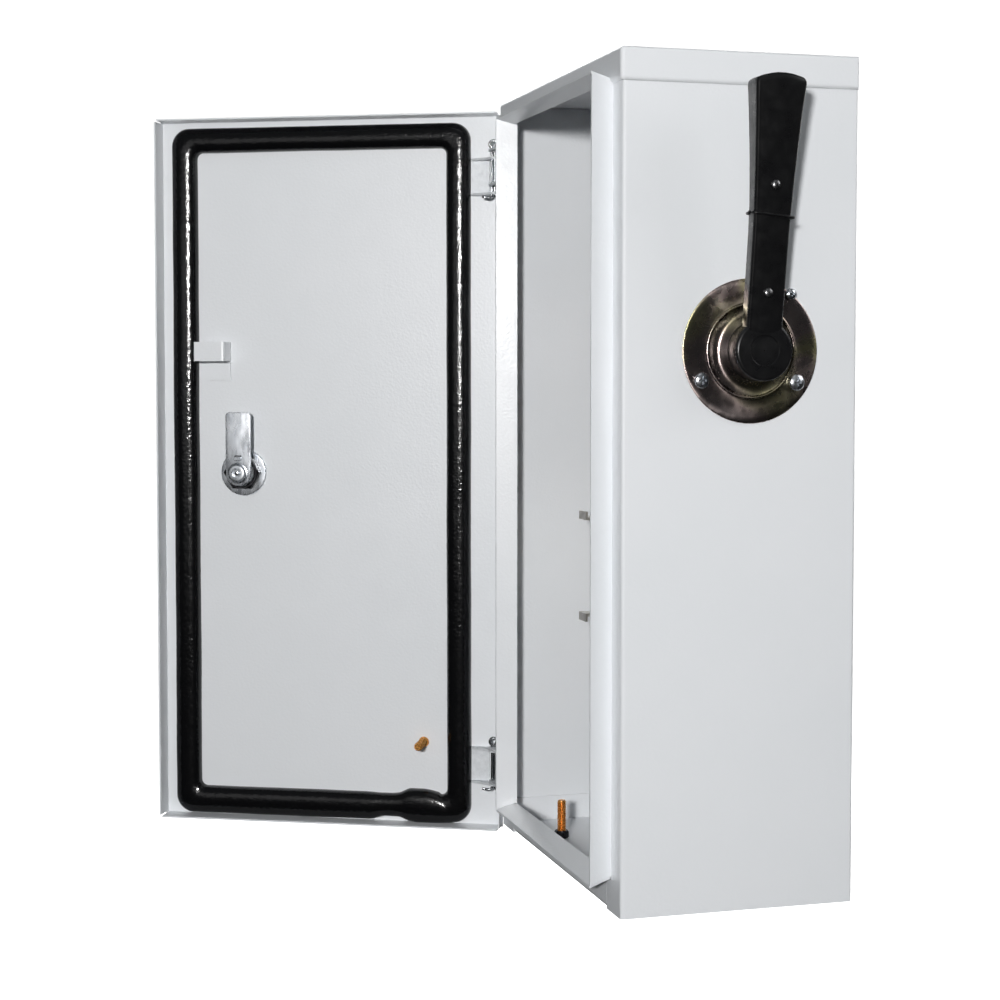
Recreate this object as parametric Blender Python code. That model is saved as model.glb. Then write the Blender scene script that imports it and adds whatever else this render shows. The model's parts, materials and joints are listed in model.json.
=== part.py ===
"""Wall-mounted switch-fuse disconnect box: sheet-steel case, hinged door and side handle.

Every size is in millimetres and becomes metres when a mesh is made.  +Z is up, the door side
faces -Y, and the origin is the centre of the case's rear (wall) face.  The pieces of the door
are written as they lie with the door closed, and their pivot then swings them open.
"""
import math

import bmesh
import bpy
from mathutils import Matrix, Vector

MM = 0.001
MERGE = 0.000002

# Case
WIDTH = 250.0
HEIGHT = 500.0
DEPTH = 146.0
SHEET = 1.5
GAP = 0.3
BEND = 1.25
HALF_W = WIDTH / 2
TOP = HEIGHT / 2
BOTTOM = -TOP
FRONT = -DEPTH

# Opening of the case, and the lips that stand forward around it and flare outwards
OPEN_LEFT = -93.0
OPEN_RIGHT = 106.0
OPEN_TOP = 232.0
OPEN_BOTTOM = -229.0
FLARE = 4.0
LIP_LEFT_DEPTH = 12.5
LIP_RIGHT_DEPTH = 14.2
TRAY_RIGHT = 100.0
TRAY_LEFT = -97.0

# Roof cap
CAP_PROUD = 1.8
CAP_BOTTOM = 230.5
CAP_RADIUS = 2.5

# Floor tray
TRAY_BEND = 3.5
UPSTAND = 18.0

# Door pan, given closed
DOOR_LEFT = -123.5
DOOR_RIGHT = 123.5
DOOR_TOP = 243.5
DOOR_BOTTOM = -252.5
DOOR_EDGE_Y = -149.5
DOOR_FACE_Y = -166.5
DOOR_SHEET = 1.2
DOOR_INNER_Y = DOOR_FACE_Y + DOOR_SHEET
DOOR_OPEN_DEG = 115.8

# Door hinges
PIN_X = -118.5
PIN_Y = -154.5
PIN_R = 2.0
EAR_T = 1.5
EAR_R = 3.4
EAR_HOLE_R = 2.3
BOX_EARS = ((193.8, 217.4), (-218.2, -195.0))
DOOR_EARS = ((188.3, 212.2), (-220.7, -197.1))
PIN_ENDS = ((185.6, 220.6), (-224.0, -191.6))

# Gasket, as its outer and inner outlines on the door skin
GASKET_OUT = (-100.8, 114.9, -250.6, 238.0)
GASKET_IN = (-83.8, 96.6, -231.2, 220.6)
GASKET_OUT_R = 12.4
GASKET_IN_R = 4.4
GASKET_H = 4.0

# Door lock
LOCK_X = 63.7
LOCK_Z = -5.3
LOCK_BODY_R = 9.5
LOCK_CORE_R = 6.0
CAM_REACH = 42.8
CAM_WIDTH = 18.0
CAM_Y = -152.4
CAM_T = 2.0

# Earth studs
STUD_R = 3.0
DOOR_STUD = (-66.7, -194.6)
FLOOR_STUD = (-67.0, -121.0)

# Switch shaft and side handle
SHAFT_Y = -68.0
SHAFT_Z = 78.0
SHAFT_R = 7.0
PLATE_R = 42.0
HUB_R = 17.5
HUB_BACK = 133.4
HUB_FACE = 147.6

# Side lever, by its height above the shaft
HANDLE_TOP = 154.0
HANDLE_LEAN = 0.16
HANDLE_FOOT_X = 145.9
HANDLE_CROWN = 3.0

# Poles of the switch and its fuses
POLES = (-60.0, 0.0, 60.0)
BLADE_T = 3.0
BLADE_W = 16.0
BLADE_HALF = 34.0
BOARD_FRONT = -28.0
BOARD_T = 8.0
STRAP_T = 1.9
FUSE_TOP = -31.5
FUSE_BOTTOM = -96.0
FUSE_Y = -76.0
SWITCH_JAW = (-78.0, -58.0)
JAW_PLAY = 0.4
TERMINAL_R = 4.5

# What carries the switch: two hat rails and the insulating board screwed on them
RAIL_Z = (140.0, -125.0)
RAIL_HALF = 85.0
RAIL_FOOT = 22.0
RAIL_HAT = 11.0
BOARD_X = 92.0
BOARD_Z = (-150.0, 165.0)
BOARD_SCREW_X = 80.0

# Cable entries in the roof and the floor, and the fixing holes in the back
ENTRY_R = 16.0
WALL_HOLES = (95.0, 215.0)
WALL_HOLE_R = 4.0

SEGMENTS = 32


def clear_scene():
    for item in list(bpy.data.objects):
        bpy.data.objects.remove(item, do_unlink=True)


def material(name, colour, roughness, metallic):
    """Return the named Principled material, made once."""
    if name in bpy.data.materials:
        return bpy.data.materials[name]
    made = bpy.data.materials.new(name)
    made.use_nodes = True
    shader = made.node_tree.nodes["Principled BSDF"]
    shader.inputs["Base Color"].default_value = (*colour, 1.0)
    shader.inputs["Roughness"].default_value = roughness
    shader.inputs["Metallic"].default_value = metallic
    return made


def finish(name):
    """Look up one of the object's finishes by its plain name."""
    table = {
        "paint": ((0.78, 0.80, 0.81), 0.38, 0.0),
        "zinc": ((0.72, 0.73, 0.75), 0.30, 1.0),
        "chromate": ((0.62, 0.58, 0.42), 0.26, 1.0),
        "black_plastic": ((0.02, 0.02, 0.02), 0.35, 0.0),
        "gasket": ((0.012, 0.012, 0.012), 0.30, 0.0),
        "copper": ((0.76, 0.38, 0.14), 0.30, 1.0),
        "dark_steel": ((0.06, 0.06, 0.065), 0.40, 1.0),
        "tin": ((0.66, 0.64, 0.60), 0.35, 1.0),
        "ceramic": ((0.82, 0.80, 0.74), 0.45, 0.0),
        "board": ((0.30, 0.16, 0.08), 0.50, 0.0),
        "rubber": ((0.03, 0.03, 0.03), 0.70, 0.0),
    }
    return material(name, *table[name])


def mesh_object(name, bm, slot, smooth=True):
    """Turn millimetre mesh data into a scene object in metres."""
    bmesh.ops.recalc_face_normals(bm, faces=bm.faces)
    bmesh.ops.scale(bm, vec=(MM, MM, MM), verts=bm.verts)
    mesh = bpy.data.meshes.new(name)
    bm.to_mesh(mesh)
    bm.free()
    made = bpy.data.objects.new(name, mesh)
    bpy.context.scene.collection.objects.link(made)
    made.data.materials.append(finish(slot))
    if smooth:
        mesh.shade_smooth()
        mesh.set_sharp_from_angle(angle=math.radians(32))
    return made


def on_axis(axis, u, v, w):
    """Place a point whose outline is (u, v) and whose height along the axis is w."""
    if axis == "X":
        return (w, u, v)
    if axis == "Y":
        return (u, w, v)
    return (u, v, w)


def prism_mesh(outline, low, high, axis):
    bm = bmesh.new()
    near = [bm.verts.new(on_axis(axis, u, v, low)) for u, v in outline]
    far = [bm.verts.new(on_axis(axis, u, v, high)) for u, v in outline]
    count = len(outline)
    bm.faces.new(near)
    bm.faces.new(far[::-1])
    for i in range(count):
        j = (i + 1) % count
        bm.faces.new((near[i], far[i], far[j], near[j]))
    return bm


def prism(name, outline, low, high, axis, slot):
    return mesh_object(name, prism_mesh(outline, low, high, axis), slot)


def block(name, x, y, z, slot):
    outline = ((x[0], y[0]), (x[1], y[0]), (x[1], y[1]), (x[0], y[1]))
    return prism(name, outline, z[0], z[1], "Z", slot)


def hexahedron(name, base, free, slot):
    """A solid between two four-cornered faces listed in matching order."""
    bm = bmesh.new()
    low = [bm.verts.new(p) for p in base]
    high = [bm.verts.new(p) for p in free]
    bm.faces.new(low)
    bm.faces.new(high[::-1])
    for i in range(4):
        j = (i + 1) % 4
        bm.faces.new((low[i], high[i], high[j], low[j]))
    return mesh_object(name, bm, slot)


def circle(u, v, radius, segments=SEGMENTS, start=0.0):
    step = 2 * math.pi / segments
    turns = [start + step * i for i in range(segments)]
    return [(u + radius * math.cos(a), v + radius * math.sin(a)) for a in turns]


def rod(name, centre, radius, low, high, axis, slot, segments=SEGMENTS, start=0.0):
    outline = circle(centre[0], centre[1], radius, segments, start)
    return prism(name, outline, low, high, axis, slot)


def lathe(name, profile, centre, axis, slot, segments=SEGMENTS):
    """Turn a closed (radius, height) profile about an axis through centre."""
    bm = bmesh.new()
    rings = []
    for radius, height in profile:
        if radius == 0:
            rings.append([bm.verts.new(on_axis(axis, centre[0], centre[1], height))])
            continue
        points = circle(centre[0], centre[1], radius, segments)
        rings.append([bm.verts.new(on_axis(axis, u, v, height)) for u, v in points])
    for ring, after in zip(rings, rings[1:] + rings[:1]):
        if len(ring) == 1 and len(after) == 1:
            continue
        for i in range(segments):
            j = (i + 1) % segments
            corners = [ring[i % len(ring)], ring[j % len(ring)]]
            corners += [after[j % len(after)], after[i % len(after)]]
            bm.faces.new(list(dict.fromkeys(corners)))
    return mesh_object(name, bm, slot)


def rounded(points, radii, segments=4):
    """Round the corners of a closed outline, each by its own radius."""
    made = []
    count = len(points)
    for i in range(count):
        here = Vector(points[i])
        before = (Vector(points[i - 1]) - here).normalized()
        after = (Vector(points[(i + 1) % count]) - here).normalized()
        radius = radii[i]
        if radius <= 0:
            made.append(tuple(here))
            continue
        half = before.angle(after) / 2
        reach = radius / math.tan(half)
        centre = here + (before + after).normalized() * (radius / math.sin(half))
        start = here + before * reach - centre
        turn = math.atan2(start.cross(here + after * reach - centre),
                          start.dot(here + after * reach - centre))
        for k in range(segments + 1):
            spoke = start.copy()
            spoke.rotate(Matrix.Rotation(turn * k / segments, 2))
            made.append(tuple(centre + spoke))
    return made


def sheet_outline(path, thickness, bend, segments=4):
    """Outline of a bent sheet whose middle line follows an open path."""
    line = [Vector(path[0])]
    for i in range(1, len(path) - 1):
        here = Vector(path[i])
        before = (Vector(path[i - 1]) - here).normalized()
        after = (Vector(path[i + 1]) - here).normalized()
        half = before.angle(after) / 2
        reach = bend / math.tan(half)
        centre = here + (before + after).normalized() * (bend / math.sin(half))
        start = here + before * reach - centre
        end = here + after * reach - centre
        turn = math.atan2(start.cross(end), start.dot(end))
        for k in range(segments + 1):
            spoke = start.copy()
            spoke.rotate(Matrix.Rotation(turn * k / segments, 2))
            line.append(centre + spoke)
    line.append(Vector(path[-1]))
    left = []
    right = []
    for i, point in enumerate(line):
        ahead = line[min(i + 1, len(line) - 1)]
        behind = line[max(i - 1, 0)]
        along = (ahead - behind).normalized()
        across = Vector((-along.y, along.x)) * (thickness / 2)
        left.append(tuple(point + across))
        right.append(tuple(point - across))
    return left + right[::-1]


def seal(mesh):
    """Merge doubled points and close the slivers that a Boolean can leave along a straight edge."""
    bm = bmesh.new()
    bm.from_mesh(mesh)
    bmesh.ops.remove_doubles(bm, verts=bm.verts, dist=MERGE)
    bmesh.ops.dissolve_degenerate(bm, edges=bm.edges, dist=MERGE)
    edges = [e for e in bm.edges if e.is_boundary]
    bmesh.ops.holes_fill(bm, edges=edges, sides=5)
    bm.to_mesh(mesh)
    bm.free()


def combine(target, operation, others):
    """Boolean the others into the target and keep the evaluated result."""
    for other in others:
        step = target.modifiers.new("solid", "BOOLEAN")
        step.operation = operation
        step.solver = "EXACT"
        step.object = other
    bpy.context.view_layer.update()
    graph = bpy.context.evaluated_depsgraph_get()
    mesh = bpy.data.meshes.new_from_object(target.evaluated_get(graph))
    target.modifiers.clear()
    target.data = mesh
    slot = mesh.materials[0]
    mesh.materials.clear()
    mesh.materials.append(slot)
    seal(mesh)
    for other in others:
        bpy.data.objects.remove(other, do_unlink=True)
    return target


def join(target, *others):
    return combine(target, "UNION", others)


def cut(target, *others):
    return combine(target, "DIFFERENCE", others)


def pivot(name, point, parent=None, parent_point=(0, 0, 0)):
    """An empty on a joint axis; point is where it lies with the door closed."""
    made = bpy.data.objects.new(name, None)
    bpy.context.scene.collection.objects.link(made)
    made.parent = parent
    made.location = (Vector(point) - Vector(parent_point)) * MM
    return made


def ride(made, carrier, point):
    """Move a piece's origin to its pivot and parent it there."""
    made.data.transform(Matrix.Translation(-Vector(point) * MM))
    made.parent = carrier
    return made


# ---------------------------------------------------------------- case

def lip(name, side, slot="paint"):
    """One side of the flared rim around the opening, with mitred ends."""
    left = (OPEN_LEFT, OPEN_LEFT - FLARE)
    right = (OPEN_RIGHT, OPEN_RIGHT + FLARE)
    top = (OPEN_TOP, OPEN_TOP + FLARE)
    low = (OPEN_BOTTOM, OPEN_BOTTOM - FLARE)
    back = FRONT + SHEET * 0.8
    left_y = FRONT - LIP_LEFT_DEPTH
    right_y = FRONT - LIP_RIGHT_DEPTH
    g = GAP / 2
    if side == "left":
        base = [(left[0], back, low[0] + g), (left[0], back, top[0] - g)]
        free = [(left[1], left_y, low[1] + g), (left[1], left_y, top[1] - g)]
        shift = Vector((-SHEET, 0, 0))
    elif side == "right":
        base = [(right[0], back, low[0] + g), (right[0], back, top[0] - g)]
        free = [(right[1], right_y, low[1] + g), (right[1], right_y, top[1] - g)]
        shift = Vector((SHEET, 0, 0))
    elif side == "top":
        rise = FLARE * CAP_PROUD / LIP_LEFT_DEPTH
        base = [(left[0] + g - rise, back - CAP_PROUD, top[0] + rise),
                (right[0] - g + rise, back - CAP_PROUD, top[0] + rise)]
        free = [(left[1] + g, left_y, top[1]), (right[1] - g, right_y, top[1])]
        shift = Vector((0, 0, SHEET))
    else:
        base = [(left[0] + g, back, low[0]), (right[0] - g, back, low[0])]
        free = [(left[1] + g, left_y, low[1]), (right[1] - g, right_y, low[1])]
        shift = Vector((0, 0, -SHEET))
    near = [base[0], base[1], tuple(Vector(base[1]) + shift), tuple(Vector(base[0]) + shift)]
    far = [free[0], free[1], tuple(Vector(free[1]) + shift), tuple(Vector(free[0]) + shift)]
    return hexahedron(name, near, far, slot)


def box_body():
    """Left side, back and right side bent from one sheet, with front flanges and side lips."""
    t = SHEET / 2
    front = FRONT + t
    path = [
        (OPEN_LEFT - SHEET, front),
        (-HALF_W + t, front),
        (-HALF_W + t, -t),
        (HALF_W - t, -t),
        (HALF_W - t, front),
        (OPEN_RIGHT + SHEET, front),
    ]
    outline = sheet_outline(path, SHEET, BEND)
    made = prism("box_body", outline, BOTTOM, TOP - SHEET - GAP, "Z", "paint")
    tab = block("tab", (TRAY_RIGHT + GAP, OPEN_RIGHT + 4), (FRONT, FRONT + SHEET),
                (BOTTOM, OPEN_BOTTOM - SHEET - 0.8), "paint")
    join(made, lip("left_lip", "left"), lip("right_lip", "right"), tab)
    notch = block("notch", (TRAY_LEFT - GAP, OPEN_LEFT + 5), (FRONT - 1, FRONT + SHEET + 1),
                  (BOTTOM - 1, OPEN_BOTTOM + GAP), "paint")
    across, up = WALL_HOLES
    holes = [rod("hole", (x, z), WALL_HOLE_R, -5, 5, "Y", "paint")
             for x in (-across, across) for z in (-up, up)]
    shaft = rod("hole", (SHAFT_Y, SHAFT_Z), 12.3, HALF_W - 5, HALF_W + 5, "X", "paint")
    return cut(made, notch, shaft, *holes)


def beveled_box(name, x, y, z, edges, radius, slot, segments=4):
    """A box with the chosen edges rounded; edges tests an edge's two end points."""
    outline = ((x[0], y[0]), (x[1], y[0]), (x[1], y[1]), (x[0], y[1]))
    bm = prism_mesh(outline, z[0], z[1], "Z")
    chosen = [e for e in bm.edges if edges(e.verts[0].co, e.verts[1].co)]
    bmesh.ops.bevel(bm, geom=chosen, offset=radius, segments=segments, profile=0.5,
                    affect="EDGES", clamp_overlap=True)
    return mesh_object(name, bm, slot)


def roof_cap():
    """Folded roof that grips the case from outside and carries the top lip."""
    side = HALF_W + CAP_PROUD
    front = FRONT - CAP_PROUD

    def rounded_edge(a, b):
        on_top = a.z > 0 and b.z > 0 and min(abs(a.y - front) + abs(b.y - front),
                                             abs(abs(a.x + b.x) / 2 - side)) < 1
        corner = abs(a.z - b.z) > 1 and a.y < front + 1 and b.y < front + 1
        return on_top or corner

    made = beveled_box("roof_cap", (-side, side), (front, 0.0), (CAP_BOTTOM, TOP), rounded_edge,
                       CAP_RADIUS, "paint")
    inner = side - SHEET
    hollow = block("hollow", (-inner, inner), (front + SHEET, 5.0), (0.0, TOP - SHEET), "paint")
    past = SHEET + 1.6
    mouth = block("mouth", (OPEN_LEFT - past, OPEN_RIGHT + past), (front - 5, front + 5),
                  (0.0, OPEN_TOP + 1.0), "paint")
    cut(made, hollow, mouth)
    entry = rod("hole", (0.0, SHAFT_Y), ENTRY_R, TOP - 5, TOP + 5, "Z", "paint")
    join(made, lip("top_lip", "top"))
    return cut(made, entry)


def bottom_tray():
    """Floor with three upstands inside the case, a front flange and the bottom lip."""
    t = SHEET / 2
    wall = HALF_W - SHEET - GAP
    rear = -SHEET - GAP
    path = [(FRONT + t, OPEN_BOTTOM - t), (FRONT + t, BOTTOM + t), (-120.0, BOTTOM + t)]
    flange = sheet_outline(path, SHEET, TRAY_BEND - t, 6)
    made = prism("bottom_tray", flange, TRAY_LEFT, TRAY_RIGHT, "X", "paint")
    plate = (BOTTOM + 0.03, BOTTOM + SHEET - 0.03)
    up = (BOTTOM + 0.1, BOTTOM + UPSTAND)
    floor = block("floor", (-wall, wall), (-141.0, rear), plate, "paint")
    left = block("left", (-wall + 0.05, -wall + SHEET), (-140.8, rear - 0.05), up, "paint")
    right = block("right", (wall - SHEET, wall - 0.05), (-140.8, rear - 0.05), up, "paint")
    back = block("back", (-wall + 0.5, wall - 0.5), (rear - SHEET, rear - 0.1),
                 (up[0] + 0.1, up[1]), "paint")
    join(made, floor)
    join(made, left)
    join(made, right)
    join(made, back)
    join(made, lip("low_lip", "bottom"))
    entry = rod("hole", (0.0, SHAFT_Y), ENTRY_R, BOTTOM - 5, BOTTOM + 5, "Z", "paint")
    stud = rod("hole", FLOOR_STUD, STUD_R + GAP, BOTTOM - 5, BOTTOM + 5, "Z", "paint")
    return cut(made, entry, stud)


def ear_outline(far_low, far_high, far_x):
    """A hinge ear round the pin, reaching to two points at far_x."""
    points = []
    for k in range(12):
        a = math.radians(15 + (270 - 15) * k / 11)
        points.append((PIN_X + EAR_R * math.cos(a), PIN_Y + EAR_R * math.sin(a)))
    return points + [(far_x, far_low), (far_x, far_high)]


def hinge_bracket_box(name, ears):
    """U-bracket on the outer face of the hinge-side lip; its two ears hold the pin."""
    low, high = ears
    lip_x = OPEN_LEFT - SHEET - FLARE - GAP
    made = block(name, (lip_x - EAR_T, lip_x), (PIN_Y - 3.7, PIN_Y),
                 (low - EAR_T / 2, high + EAR_T / 2), "zinc")
    for z in ears:
        outline = ear_outline(PIN_Y - 3.4, PIN_Y - GAP, lip_x - 0.1)
        join(made, prism("ear", outline, z - EAR_T / 2, z + EAR_T / 2, "Z", "zinc"))
    hole = rod("hole", (PIN_X, PIN_Y), EAR_HOLE_R, low - 5, high + 5, "Z", "zinc", 16)
    return cut(made, hole)


def hinge_pin(name, ends):
    """Pin with a round eye, like a split cotter pushed in from above."""
    low, high = ends
    made = rod(name, (PIN_X, PIN_Y), PIN_R, low, high, "Z", "zinc", 16)
    head = rod("head", (PIN_X, PIN_Y), PIN_R + 1.2, high - 2.0, high + 3.5, "Z", "zinc", 16)
    return join(made, head)


def earth_nut():
    outline = circle(FLOOR_STUD[0], FLOOR_STUD[1], 5.8, 6)
    made = prism("floor_earth_nut", outline, BOTTOM + SHEET + GAP, BOTTOM + SHEET + 5.3, "Z",
                 "dark_steel")
    hole = rod("hole", FLOOR_STUD, STUD_R + GAP, BOTTOM, BOTTOM + 10, "Z", "dark_steel", 24)
    return cut(made, hole)


def earth_stud():
    """Copper-plated stud with a head under the floor."""
    top = BOTTOM + 27.5
    made = rod("floor_earth_stud", FLOOR_STUD, STUD_R, BOTTOM - 0.2, top - 0.6, "Z", "copper", 24)
    head = rod("head", FLOOR_STUD, 5.0, BOTTOM - 2.4, BOTTOM - GAP, "Z", "copper", 24)
    stem = rod("stem", FLOOR_STUD, STUD_R, BOTTOM - 2.0, BOTTOM + 1.0, "Z", "copper", 24)
    tip = lathe("tip", [(0.0, top - 2), (STUD_R - 0.01, top - 2), (STUD_R - 0.01, top - 0.8),
                        (STUD_R - 0.9, top), (0.0, top)], FLOOR_STUD, "Z", "copper", 24)
    return join(made, stem, head, tip)


def grommet(name, z, direction):
    """Rubber cable entry in the roof or the floor."""
    near = z - direction * SHEET
    profile = [
        (10.0, z + direction * 2.0),
        (ENTRY_R + 3.0, z + direction * GAP),
        (ENTRY_R - 0.5, z + direction * GAP),
        (ENTRY_R - 0.5, near - direction * GAP),
        (18.0, near - direction * GAP),
        (17.0, near - direction * 3.0),
        (9.0, near - direction * 3.0),
    ]
    return lathe(name, profile, (0.0, SHAFT_Y), "Z", "rubber", 28)


# ---------------------------------------------------------------- door

def door_pan():
    """Shallow pressed pan with corner notches, lock hole and hinge-corner relief."""
    def front_edge(a, b):
        return a.y < DOOR_FACE_Y + 1 and b.y < DOOR_FACE_Y + 1

    made = beveled_box("door_pan", (DOOR_LEFT, DOOR_RIGHT), (DOOR_FACE_Y, DOOR_EDGE_Y),
                       (DOOR_BOTTOM, DOOR_TOP), front_edge, 1.8, "paint")
    t = DOOR_SHEET
    hollow = block("hollow", (DOOR_LEFT + t, DOOR_RIGHT - t), (DOOR_INNER_Y, DOOR_EDGE_Y + 5),
                   (DOOR_BOTTOM + t, DOOR_TOP - t), "paint")
    lock = rod("hole", (LOCK_X, LOCK_Z), LOCK_BODY_R + GAP, -170, -160, "Y", "paint")
    cutters = [hollow, lock]
    for x in (DOOR_LEFT, DOOR_RIGHT):
        for z in (DOOR_BOTTOM, DOOR_TOP):
            cutters.append(block("notch", (x - 1.8, x + 1.8), (-163.6, DOOR_EDGE_Y + 5),
                                 (z - 1.8, z + 1.8), "paint"))
    relief = block("relief", (DOOR_LEFT - 5, DOOR_LEFT + 2.6), (-175, -140), (229.4, 260), "paint")
    return cut(made, *cutters, relief)


def rounded_rectangle(sides, radius, per_corner=6, per_side=(4, 10)):
    """Points of a rounded rectangle, evenly numbered so that two of them can be joined."""
    x0, x1, z0, z1 = sides
    corners = ((x1 - radius, z1 - radius, 0), (x0 + radius, z1 - radius, 90),
               (x0 + radius, z0 + radius, 180), (x1 - radius, z0 + radius, 270))
    points = []
    for n, (cx, cz, start) in enumerate(corners):
        arc = []
        for k in range(per_corner + 1):
            a = math.radians(start + 90 * k / per_corner)
            arc.append((cx + radius * math.cos(a), cz + radius * math.sin(a)))
        points += arc
        nx, nz, begin = corners[(n + 1) % 4]
        a = math.radians(begin)
        after = (nx + radius * math.cos(a), nz + radius * math.sin(a))
        steps = per_side[n % 2]
        for k in range(1, steps):
            f = k / steps
            points.append((arc[-1][0] + (after[0] - arc[-1][0]) * f,
                           arc[-1][1] + (after[1] - arc[-1][1]) * f))
    return points


def gasket():
    """Domed strip laid in a ring on the door skin."""
    outer = rounded_rectangle(GASKET_OUT, GASKET_OUT_R)
    inner = rounded_rectangle(GASKET_IN, GASKET_IN_R)
    base = DOOR_INNER_Y + GAP
    section = ((0.0, 0.0), (0.0, 0.55), (0.22, 0.92), (0.5, 1.0), (0.78, 0.92), (1.0, 0.55),
               (1.0, 0.0))
    bm = bmesh.new()
    rings = []
    for (ox, oz), (ix, iz) in zip(outer, inner):
        ring = []
        for across, up in section:
            ring.append(bm.verts.new((ox + (ix - ox) * across, base + GASKET_H * up,
                                      oz + (iz - oz) * across)))
        rings.append(ring)
    for ring, after in zip(rings, rings[1:] + rings[:1]):
        for i in range(len(section)):
            j = (i + 1) % len(section)
            bm.faces.new((ring[i], ring[j], after[j], after[i]))
    return mesh_object("gasket", bm, "gasket")


def hinge_bracket_door(name, ears):
    """U-bracket on the door skin; its ears reach out to the pin."""
    low, high = ears
    base = DOOR_INNER_Y + GAP
    made = block(name, (-114.1, -101.6), (base, base + EAR_T),
                 (low - EAR_T / 2, high + EAR_T / 2), "zinc")
    for z in ears:
        points = [(PIN_X - EAR_R, PIN_Y)]
        for k in range(1, 9):
            a = math.radians(180 - 22.5 * k)
            points.append((PIN_X + EAR_R * math.cos(a), PIN_Y + EAR_R * math.sin(a)))
        points += [(-101.6, base + 4.0), (-101.6, base + 0.1), (PIN_X + 1.5, base + 0.1)]
        join(made, prism("ear", points, z - EAR_T / 2, z + EAR_T / 2, "Z", "zinc"))
    hole = rod("hole", (PIN_X, PIN_Y), EAR_HOLE_R, low - 5, high + 5, "Z", "zinc", 16)
    return cut(made, hole)


def door_earth_stud():
    base = DOOR_INNER_Y + GAP
    tip = base + 20.0
    profile = [(0.0, base), (4.6, base), (4.6, base + 1.0), (STUD_R, base + 1.4),
               (STUD_R, tip - 0.8), (STUD_R - 0.9, tip), (0.0, tip)]
    return lathe("door_earth_stud", profile, DOOR_STUD, "Y", "copper", 24)


def door_hook():
    """Catch that the interlock arm slides behind while the switch is on."""
    base = DOOR_INNER_Y + GAP
    t = 1.2
    made = block("door_hook", (73.0, 91.0), (base, base + t), (59.8, 87.8), "paint")
    path = [(73.6, base + 0.2), (73.6, base + 14.4), (95.3, base + 14.4)]
    strip = prism("strip", sheet_outline(path, t, 1.4), 73.5, 87.0, "Z", "paint")
    return join(made, strip)


def lock_parts():
    """Body through the door with its nut and washer; the core and cam turn in it."""
    centre = (LOCK_X, LOCK_Z)
    bore = LOCK_CORE_R + GAP
    face = DOOR_FACE_Y - GAP
    body = lathe("lock_body", [
        (bore, face - 2.0), (11.5, face - 2.0), (12.5, face - 1.2), (12.5, face),
        (LOCK_BODY_R, face), (LOCK_BODY_R, CAM_Y - 1.2), (bore, CAM_Y - 1.2),
    ], centre, "Y", "zinc")
    washer = lathe("lock_washer", [
        (LOCK_BODY_R + GAP, DOOR_INNER_Y + GAP), (16.5, DOOR_INNER_Y + GAP),
        (16.5, DOOR_INNER_Y + 1.2), (15.8, DOOR_INNER_Y + 1.9),
        (LOCK_BODY_R + GAP, DOOR_INNER_Y + 1.9),
    ], centre, "Y", "zinc")
    nut = prism("lock_nut", circle(LOCK_X, LOCK_Z, 13.2, 6), DOOR_INNER_Y + 2.2,
                DOOR_INNER_Y + 8.2, "Y", "dark_steel")
    cut(nut, rod("hole", centre, LOCK_BODY_R + GAP, -170, -150, "Y", "dark_steel"))
    return [body, washer, nut]


def cam_parts():
    """Lock core with its key slot, the flat cam and the screw that holds it."""
    centre = (LOCK_X, LOCK_Z)
    core = rod("lock_core", centre, LOCK_CORE_R, DOOR_FACE_Y - 2.0, CAM_Y - GAP, "Y", "zinc")
    tang = block("tang", (LOCK_X - 4, LOCK_X + 4), (CAM_Y - 2, CAM_Y + CAM_T - GAP),
                 (LOCK_Z - 4, LOCK_Z + 4), "zinc")
    slot = block("slot", (LOCK_X - 3.2, LOCK_X + 3.2), (-175, DOOR_FACE_Y + 1.0),
                 (LOCK_Z - 0.6, LOCK_Z + 0.6), "zinc")
    join(core, tang)
    cut(core, slot)
    half = CAM_WIDTH / 2
    outline = [(LOCK_X + half, LOCK_Z), (LOCK_X + half, LOCK_Z + CAM_REACH - 2.5)]
    outline += [(LOCK_X + half - 2.5, LOCK_Z + CAM_REACH)]
    outline += [(LOCK_X - half + 2.5, LOCK_Z + CAM_REACH)]
    outline += [(LOCK_X - half, LOCK_Z + CAM_REACH - 2.5), (LOCK_X - half, LOCK_Z)]
    for k in range(1, 12):
        a = math.radians(180 + 15 * k)
        outline.append((LOCK_X + half * math.cos(a), LOCK_Z + half * math.sin(a)))
    cam = prism("lock_cam", outline, CAM_Y, CAM_Y + CAM_T, "Y", "zinc")
    cut(cam, block("hole", (LOCK_X - 4 - GAP, LOCK_X + 4 + GAP), (CAM_Y - 2, CAM_Y + 4),
                   (LOCK_Z - 4 - GAP, LOCK_Z + 4 + GAP), "zinc"))
    seat = CAM_Y + CAM_T + GAP
    screw = lathe("cam_screw", [
        (0.0, seat), (7.6, seat), (7.6, seat + 1.2), (5.2, seat + 1.3), (5.2, seat + 3.2),
        (4.2, seat + 4.2), (2.6, seat + 4.2), (2.6, seat + 2.0), (0.0, seat + 2.0),
    ], centre, "Y", "zinc", 28)
    return [core, cam, screw]


# ---------------------------------------------------------------- switch and handle

def handle_plate():
    """Dished round plate on the side wall with a raised ring and a boss for the shaft."""
    x = HALF_W + GAP
    profile = [
        (12.3, x + 0.4), (12.3, x + 7.0), (15.0, x + 7.0), (17.0, x + 5.0), (20.0, x + 3.2),
        (24.0, x + 2.2), (26.0, x + 2.8), (27.4, x + 2.8), (28.4, x + 1.6), (PLATE_R - 0.6, x + 1.2),
        (PLATE_R, x + 0.6), (PLATE_R - 0.4, x), (28.0, x), (14.5, x + 0.4),
    ]
    return lathe("handle_plate", profile, (SHAFT_Y, SHAFT_Z), "X", "chromate", 48)


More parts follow.
